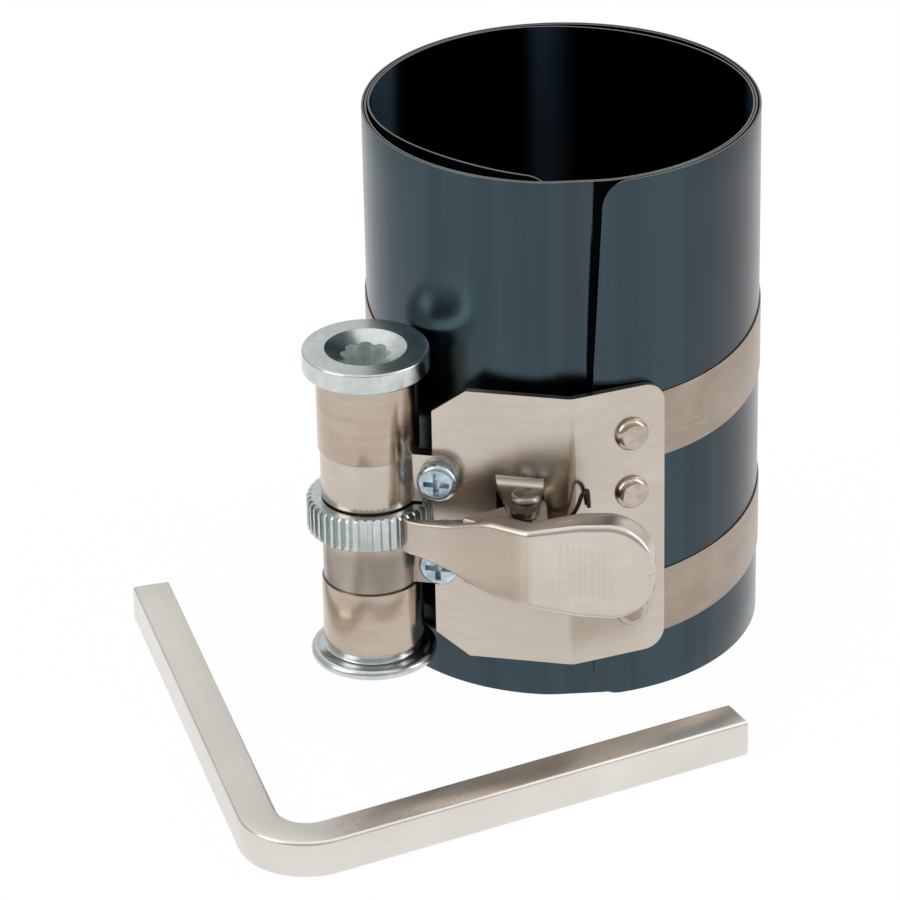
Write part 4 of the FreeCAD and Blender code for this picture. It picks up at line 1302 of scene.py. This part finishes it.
@dataclass
class PawlLever:
    """The pressed lever: a shallow channel with a rimmed thumb pad, ears at the pin and ribs.

    Attributes:
        pin: Where the pin's axis crosses the lever's middle.
        nose: Front corner of the nose in plan.
        bend: Corner in plan between web and pad.
        end: End of the pad's face in plan.
        side_turns: Directions of the side walls behind the web and behind the pad.
        pad_round: Radius of the pad's upper corner.
        rise_at: Distances from the nose at which the half height is given, up to the pad's round.
        rise: The half height there, and at the round.
        roll: Distances, and the radius there of the rolled edge.
        depth: Distances, and the depth there of the channel's walls.
        sheet: Distances, and the thickness there.
        flare: Distances, and how far the walls lean outwards there.
        crown: How much the pad's face swells.
        ears: Lower and upper face of the upper ear, over the middle.
        ear_radius: Radius of an ear round the pin.
        ear_edge: Radius of the ears' edges.
        ribs: How many ribs the pad has.
        rib_first: Distance of the first rib from the nose.
        rib_pitch: Distance between two ribs.
        rib_half: Half of the first rib's length.
    """

    pin: Triple
    nose: Pair = (-23.1857, -32.2587)
    bend: Pair = (-6.2133, -43.5)
    end: Pair = (11.2, -45.4)
    side_turns: Pair = (56.5, 87.0)
    pad_round: float = 6.6
    rise_at: tuple[float, ...] = (0.35, 2.6, 7.4, 13.9, 20.2, 27.5)
    rise: tuple[float, ...] = (2.6, 2.62, 3.6, 5.75, 5.9, 7.2, 7.35)
    roll: tuple[tuple[float, ...], ...] = ((0, 2, 8, 20, 30), (0.08, 0.3, 0.7, 0.85, 1.0))
    depth: tuple[tuple[float, ...], ...] = (
        (0, 1.3, 3, 6, 10, 15, 21, 28, 34, 38), (0.35, 0.9, 1.5, 2.3, 2.2, 3.3, 3.4, 3.8, 3.4, 2.8),
    )
    sheet: tuple[tuple[float, ...], ...] = ((0, 1.5, 4), (0.2, 0.6, 0.9))
    flare: tuple[tuple[float, ...], ...] = ((20, 26, 37), (0.0, 0.06, 0.3))
    crown: float = 0.12
    ears: Pair = (4.05, 5.08)
    ear_radius: float = 2.95
    ear_edge: float = 0.25
    ribs: int = 9
    rib_first: float = 25.0
    rib_pitch: float = 0.86
    rib_half: float = 4.3

    def front(self) -> tuple[np.ndarray, np.ndarray]:
        """Run along the front face in plan: tapered nose, web, a small bend, pad.

        Returns:
            Distances from the nose, and the points there.
        """
        nose, bend, end = (np.array(point) for point in (self.nose, self.bend, self.end))
        web = unit(bend - nose)
        back = np.array([-web[1], web[0]])
        corners = np.stack([nose - 0.15 * back, nose + 1.3 * web - 0.5 * back, bend, end])
        plain = evened(corners, 900)
        along = np.linspace(0.0, distance_run(corners)[-1], len(plain))
        return along, np.stack([smoothed(plain[:, axis], 33) for axis in (0, 1)], axis=1)

    def place(self, along: np.ndarray, back: np.ndarray, rise: np.ndarray) -> np.ndarray:
        """Put points that are given along the front face, back from it and up, into space.

        Args:
            along: Distance from the nose.
            back: Distance behind the front face.
            rise: Height over the middle.

        Returns:
            The points, with a last axis of three.
        """
        length, points = self.front()
        plan = [np.interp(along, length, points[:, axis]) for axis in (0, 1)]
        turn = np.radians(np.interp(along, (13.0, 23.0), self.side_turns))
        return np.concatenate([on_circle(plan, back, turn), (self.pin[2] + rise)[..., None]], axis=-1)

    def outline(self, reach: float) -> np.ndarray:
        """Trace the upper half of the lever seen from the front, from the nose to the pad's end.

        Args:
            reach: Length of the front face.

        Returns:
            Points of distance and height, evenly spaced.
        """
        start = reach - self.pad_round
        body = np.linspace(self.rise_at[0], start, 200)
        high = smoothed(np.interp(body, (*self.rise_at, start), self.rise), 25)
        fan = np.radians(np.linspace(90.0, 0.0, 60))[1:]
        tip = np.array([[0.0, 0.02], [0.0, high[0] - 0.35], [0.1, high[0] - 0.1]])
        rest = on_circle((start, high[-1] - self.pad_round), self.pad_round, fan)
        rough = np.concatenate([tip, np.stack([body, high], axis=1), rest, [[reach, 0.02]]])
        return evened(rough, 260)

    def section(self, at: np.ndarray) -> tuple[np.ndarray, np.ndarray]:
        """Draw the channel's side: rolled edge, outer wall, round lip, inner wall, inner face.

        Args:
            at: Distances from the nose.

        Returns:
            How far inwards from the outline and how far behind the face each point lies.
        """
        edge, deep, sheet, flare = (
            np.interp(at, *course)[:, None] for course in (self.roll, self.depth, self.sheet, self.flare)
        )
        fan = np.radians(np.linspace(90.0, 0.0, 7))[None, :]
        lip = np.radians(np.linspace(0.0, 180.0, 7))[None, :]
        inward = np.concatenate([
            edge * (1 - np.cos(fan)), 0 * edge, sheet / 2 * (1 - np.cos(lip)), sheet, sheet,
        ], axis=1)
        back = np.concatenate([
            edge * (1 - np.sin(fan)), (edge + deep) / 2, deep - sheet / 2 + sheet / 2 * np.sin(lip),
            (sheet + deep) / 2, np.minimum(sheet, deep - 0.1),
        ], axis=1)
        return inward - flare * np.maximum(back - edge, 0.0), back

    def shell(self) -> np.ndarray:
        """Work out the channel: the side's section between a crowned front face and a flat inner one.

        Each ring is the upper half's section, set square to the outline, and its mirror image below.

        Returns:
            Rings of points.
        """
        length, _ = self.front()
        line = self.outline(length[-1])
        tangent = unit(np.gradient(line, axis=0))
        inward, back = self.section(line[:, 0])
        along = line[:, :1] + tangent[:, 1:] * inward
        rise = np.maximum(line[:, 1:] - tangent[:, :1] * inward, 0.01)
        share = np.linspace(0.0, 0.85, 6)[None, :]
        crown = self.crown * np.interp(line[:, :1], (20, 27), (0, 1)) * (1 - share ** 2)
        along = np.concatenate([along[:, :1] + 0 * share, along, along[:, -1:] + 0 * share], axis=1)
        rise = np.concatenate([rise[:, :1] * share, rise, rise[:, -1:] * share[:, ::-1]], axis=1)
        back = np.concatenate([-crown, back, back[:, -1:] + 0 * share], axis=1)
        upper, lower = self.place(along, back, rise), self.place(along, back, -rise)
        return np.concatenate([upper, lower[:, -2:0:-1]], axis=1)

    def ear(self, low: float, high: float) -> np.ndarray:
        """Work out one flat ear: its outline from the web to round the pin, drawn in at both edges.

        Args:
            low: Its lower face's height over the middle.
            high: Its upper face's height over the middle.

        Returns:
            Rings of points.
        """
        foot = np.concatenate([np.linspace(9.5, 20.0, 12), np.linspace(20.6, 23.4, 4)])
        inner = self.place(foot, np.full(len(foot), 0.7), 0 * foot)[:, :2]
        round_pin = on_circle(self.pin, self.ear_radius, np.radians(np.linspace(0.0, 180.0, 15)))
        line = evened(softened(np.concatenate([inner, round_pin]), 0.8, True), 150)
        tangent = unit(np.roll(line, -1, axis=0) - np.roll(line, 1, axis=0))
        outward = np.stack([tangent[:, 1], -tangent[:, 0]], axis=1)
        fan = np.radians(np.linspace(90.0, 0.0, 5))
        inset, rise = self.ear_edge * (1 - np.cos(fan)), self.ear_edge * (1 - np.sin(fan))
        inset = np.concatenate([inset, inset[::-1]])[:, None, None]
        level = self.pin[2] + np.concatenate([low + rise, (high - rise)[::-1]])[:, None, None]
        plan = line - outward * inset
        return np.concatenate([plan, np.broadcast_to(level, (*plan.shape[:2], 1))], axis=-1)

    def rib(self, number: int) -> np.ndarray:
        """Work out one upright rib on the pad: half an ellipse in section, thin at both ends.

        Args:
            number: Its place in the row, from 0.

        Returns:
            Rings of points.
        """
        fan = np.linspace(0.0, math.pi, 9)[None, :]
        level = np.linspace(-1.0, 1.0, 17)[:, None]
        size = np.sqrt(np.clip(1.0 - level ** 10, 0.02, 1.0))
        along = self.rib_first + number * self.rib_pitch + 0.2 * np.cos(fan) * size
        back = -self.crown - 0.08 * np.sin(fan) * size
        back[:, [0, -1]] = 0.3
        return self.place(along, back, level * (self.rib_half - 0.12 * number) + 0 * along)

    def build(self, dresser: Dresser) -> None:
        """Make the channel, both ears and the ribs.

        Args:
            dresser: Where the pieces get their finish.
        """
        low, high = self.ears
        pieces = [
            solid_from_rings("pawl_lever_shell", self.shell(), 60.0),
            solid_from_rings("pawl_lever_upper_ear", self.ear(low, high), 60.0),
            solid_from_rings("pawl_lever_lower_ear", self.ear(-high, -low), 60.0),
            *(solid_from_rings(f"pad_rib_{rib + 1}", self.rib(rib), 80.0) for rib in range(self.ribs)),
        ]
        for piece in pieces:
            dresser.dress(piece, LEVER, Body.PAWL, "nickel_lever", "pawl_lever")


@dataclass
class TurnedAndPressed:
    """The turned, pressed and riveted pieces: dressed copies of their nodes.

    Attributes:
        plate_edge: Bevel of the base plate.
        wheel_edge: Bevel of the ratchet wheel and of the pawl's pin.
        rivet_edge: Bevel of the rivets.
        screw_edge: Bevel of the screws.
        nut_edge: Bevel of the nuts.
    """

    plate_edge: float = 0.14
    wheel_edge: float = 0.05
    rivet_edge: float = 0.04
    screw_edge: float = 0.06
    nut_edge: float = 0.08

    def build(self, dresser: Dresser) -> None:
        """Copy, bevel and finish each piece.

        Args:
            dresser: What holds the nodes, and gives the pieces their finish.
        """
        plate = dresser.copy("base_plate", self.plate_edge, 3)
        dresser.dress(plate, PLATE, Body.FRAME, "nickel_plate", "base_plate")
        rows: list[tuple[str, float, MetalFinish, Body, str]] = [
            ("ratchet_wheel", self.wheel_edge, ZINC, Body.SPINDLE, "zinc_wheel"),
            ("pawl_pin", self.wheel_edge, PIN, Body.FRAME, "steel_pin"),
        ]
        for side in Side:
            rows += [
                (side.of("band_rivet"), self.rivet_edge, RIVET, Body.FRAME, "nickel_rivet"),
                (side.of("sleeve_rivet"), self.rivet_edge, RIVET, Body.FRAME, "nickel_rivet"),
                (side.of("ear_screw"), self.screw_edge, SCREW, Body.FRAME, "zinc"),
                (side.of("ear_nut"), self.nut_edge, SCREW, Body.FRAME, "zinc"),
            ]
        for node, width, finish, body, slot in rows:
            dresser.dress(dresser.copy(node, width), finish, body, slot, node)


@dataclass
class SquareKey:
    """The loose square bar, bent to an L on the floor.

    Attributes:
        width: Width of the square.
        long_arm: Length of the long arm, from the arms' crossing.
        short_arm: Length of the short arm.
        opening: Angle between the arms.
        bend: Radius of the bend on the middle line.
        edge: Radius of the bar's long edges.
        bevel: Size of its broken ends.
        corner: Where the arms' middle lines cross.
        yaw: Direction of the short arm.
    """

    width: float = 5.5
    long_arm: float = 74.3
    short_arm: float = 71.7
    opening: float = 78.8
    bend: float = 7.1
    edge: float = 0.5
    bevel: float = 0.35
    corner: Pair = (-41.2, -74.3)
    yaw: float = 26.3

    def path(self) -> tuple[np.ndarray, np.ndarray]:
        """Run down one arm, round an arc that touches both, and out along the other.

        Returns:
            Points of the bar's middle line in plan, and the unit directions there.
        """
        opening = math.radians(self.opening)
        first, second = np.array([1.0, 0.0]), np.array([math.cos(opening), math.sin(opening)])
        touch = self.bend / math.tan(opening / 2)
        steps = np.array([0.0, 0.12, self.bevel, 1.2])
        down = np.concatenate([self.short_arm - steps, np.linspace(self.short_arm - 4.0, touch, 14)])
        up = np.concatenate([np.linspace(touch, self.long_arm - 4.0, 14), (self.long_arm - steps)[::-1]])
        centre = unit(first + second) * self.bend / math.sin(opening / 2)
        start = math.atan2(*(first * touch - centre)[::-1])
        swing = np.linspace(0.0, math.pi - opening, 34)[1:-1]
        arc = on_circle(centre, self.bend, start - swing)
        points = np.concatenate([down[:, None] * first, arc, up[:, None] * second])
        heading = np.concatenate([np.full(len(down), math.pi), math.pi - swing, np.full(len(up), opening)])
        return points, on_circle((0.0, 0.0), 1.0, heading)

    def build(self, dresser: Dresser) -> None:
        """Carry a square with rounded corners along the path, drawn in a little at both ends.

        Args:
            dresser: Where the piece gets its finish.
        """
        points, along = self.path()
        core = self.width / 2 - self.edge
        corner = on_circle((core, core), self.edge, np.radians(np.linspace(0.0, 90.0, 5)))
        quarter = np.array([[0, -1], [1, 0]])
        square = np.concatenate([corner @ np.linalg.matrix_power(quarter, turn).T for turn in range(4)])
        shrink = np.ones(len(points))
        shrink[:2] = shrink[-2:][::-1] = [1 - 2 * self.bevel / self.width, 1 - self.bevel / self.width]
        side = np.stack([-along[:, 1], along[:, 0]], axis=1)
        plan = points[:, None] + side[:, None] * (square[None, :, :1] * shrink[:, None, None])
        height = self.width / 2 + square[None, :, 1] * shrink[:, None]
        yaw = math.radians(self.yaw)
        spin = np.array([[math.cos(yaw), -math.sin(yaw)], [math.sin(yaw), math.cos(yaw)]])
        rings = np.concatenate([plan @ spin.T + np.array(self.corner), height[..., None]], axis=-1)
        dresser.dress(solid_from_rings("key_bar", rings, 35.0), KEY, Body.KEY, "nickel_key", "key")


@dataclass(frozen=True)
class Lamp:
    """One soft lamp.

    Attributes:
        name: The lamp's name.
        place: Where it hangs, in metres.
        size: Its width and height in metres.
        power: Its power in watts.
        aim: The point that it faces, in metres.
    """

    name: str
    place: Triple
    size: Pair
    power: float
    aim: Triple = (0.0, 0.0, 0.03)

    def hang(self) -> None:
        """Put the lamp in the scene."""
        data = bpy.data.lights.new(self.name, "AREA")
        data.shape, data.energy = "RECTANGLE", self.power
        data.size, data.size_y = self.size
        facing = (Vector(self.aim) - Vector(self.place)).to_track_quat("-Z", "Y")
        lamp = put_in_scene(self.name, data)
        lamp.matrix_world = Matrix.Translation(self.place) @ facing.to_matrix().to_4x4()


@dataclass
class Studio:
    """White floor, soft lamps, and the camera at the photograph's angle.

    Attributes:
        lens: Focal length in millimetres.
        sensor: Width of the picture in the camera, in millimetres.
        eye: The camera's place in metres.
        pitch: How far it looks down.
        roll: How far it is rolled, in radians.
        reach: Half of the floor's width in metres.
        floor_tone: The floor's own colour.
        floor_white: Share of plain white in the floor where it is seen.
        sky_on_metal: How far metal mirrors the white surround instead of the graded one.
        sky_level: Strength of the graded surround.
        sky_above: How much stronger it is above.
        sky_front: How much weaker it is in front.
        sky_left: How much weaker it is on the left.
        lamps: The lamps.
    """

    lens: float = 193.2
    sensor: float = 36.0
    eye: Triple = (-0.01638, -0.61785, 0.35325)
    pitch: float = 27.97
    roll: float = 0.021
    reach: float = 2.5
    floor_tone: Tone = (0.86, 0.86, 0.86, 1.0)
    floor_white: float = 0.98
    sky_on_metal: float = 0.2
    sky_level: float = 0.54
    sky_above: float = 0.3
    sky_front: float = 0.4
    sky_left: float = 0.26
    lamps: tuple[Lamp, ...] = (
        Lamp("left_lamp", (-0.75, -0.35, 0.6), (0.5, 0.7), 2.2),
        Lamp("right_lamp", (0.8, -0.15, 0.45), (0.35, 0.8), 2.0),
        Lamp("top_lamp", (0.05, 0.1, 0.95), (1.6, 1.2), 1.7, (0.0, -0.02, 0.03)),
    )

    def camera(self) -> None:
        """Stand the camera at its eye point, tipped down and rolled a little."""
        data = bpy.data.cameras.new("studio_camera")
        data.lens, data.sensor_width = self.lens, self.sensor
        data.clip_start, data.clip_end = 0.01, 20.0
        camera = put_in_scene("studio_camera", data)
        tip = math.radians(self.pitch)
        right, down = np.array([1.0, 0.0, 0.0]), np.array([0.0, -math.sin(tip), -math.cos(tip)])
        ahead = np.array([0.0, math.cos(tip), -math.sin(tip)])
        across = math.cos(self.roll) * right + math.sin(self.roll) * down
        below = math.cos(self.roll) * down - math.sin(self.roll) * right
        matrix = np.eye(4)
        matrix[:3] = np.column_stack([across, -below, -ahead, self.eye])
        camera.matrix_world = Matrix(matrix.tolist())
        bpy.context.scene.camera = camera

    def seen(self, graph: Graph, metal: float) -> Wire:
        """Give the share of rays that show plain white: from the eye, through glass and off metal.

        Args:
            graph: The tree of the floor's material or of the world.
            metal: How far a ray off metal shows the white too.

        Returns:
            The share's socket.
        """
        path = graph.add("ShaderNodeLightPath")
        straight = path.wire("Is Camera Ray") + path.wire("Is Transmission Ray")
        return (straight + path.wire("Is Glossy Ray") * metal).math("MINIMUM", 1.0)

    def sky(self) -> None:
        """Light all round, brighter above, dimmer in front and on the left, and white where seen."""
        world = bpy.data.worlds.new("studio")
        bpy.context.scene.world = world
        graph = Graph(world)
        toward = graph.add("ShaderNodeTexCoord").wire("Generated")
        parts = graph.add("ShaderNodeSeparateXYZ", {0: toward})
        left, front = parts.wire(0).below(-0.3, -1.0), parts.wire(1).below(-0.35, -1.0)
        above = parts.wire(2).within(-0.2, 1.0)
        light = self.sky_level + above * self.sky_above - front * self.sky_front - left * self.sky_left
        soft = graph.add("ShaderNodeBackground", {"Color": WHITE, "Strength": light})
        plain = graph.add("ShaderNodeBackground", {"Color": WHITE, "Strength": 1.0})
        graph.mix(self.seen(graph, self.sky_on_metal), soft, plain, "ShaderNodeOutputWorld")

    def floor(self) -> None:
        """Lay a wide white floor that keeps a faint shadow."""
        mesh = bpy.data.meshes.new("studio_floor")
        corners = [(x * self.reach, y * self.reach, 0.0) for x, y in ((-1, -1), (1, -1), (1, 1), (-1, 1))]
        mesh.from_pydata(corners, [], [(0, 1, 2, 3)])
        material = bpy.data.materials.new("studio_floor")
        graph = Graph(material)
        matt = graph.add("ShaderNodeBsdfDiffuse", {"Color": self.floor_tone})
        plain = graph.add("ShaderNodeEmission", {"Color": WHITE, "Strength": 1.0})
        graph.mix(self.seen(graph, 1.0) * self.floor_white, matt, plain, "ShaderNodeOutputMaterial")
        mesh.materials.append(material)
        put_in_scene("studio_floor", mesh)

    def build(self) -> None:
        """Set up the view, the floor and the light."""
        bpy.context.scene.view_settings.view_transform = "Standard"
        self.camera()
        self.sky()
        self.floor()
        for lamp in self.lamps:
            lamp.hang()


def main() -> None:
    """Build the studio and every piece."""
    logging.basicConfig(level=logging.INFO, format="%(name)s: %(message)s")
    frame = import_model()
    dresser = Dresser(frame["nodes"])
    axes = Axes.from_joints(frame["joints"])
    sleeve = Sleeve()
    Studio().build()
    assemblies = (
        sleeve, Bands(sleeve, axes), PawlSpring(axes.pin), DrumMetal(axes.spindle), PawlLever(axes.pin),
        TurnedAndPressed(), SquareKey(),
    )
    for assembly in assemblies:
        assembly.build(dresser)


if __name__ == "__main__":
    main()
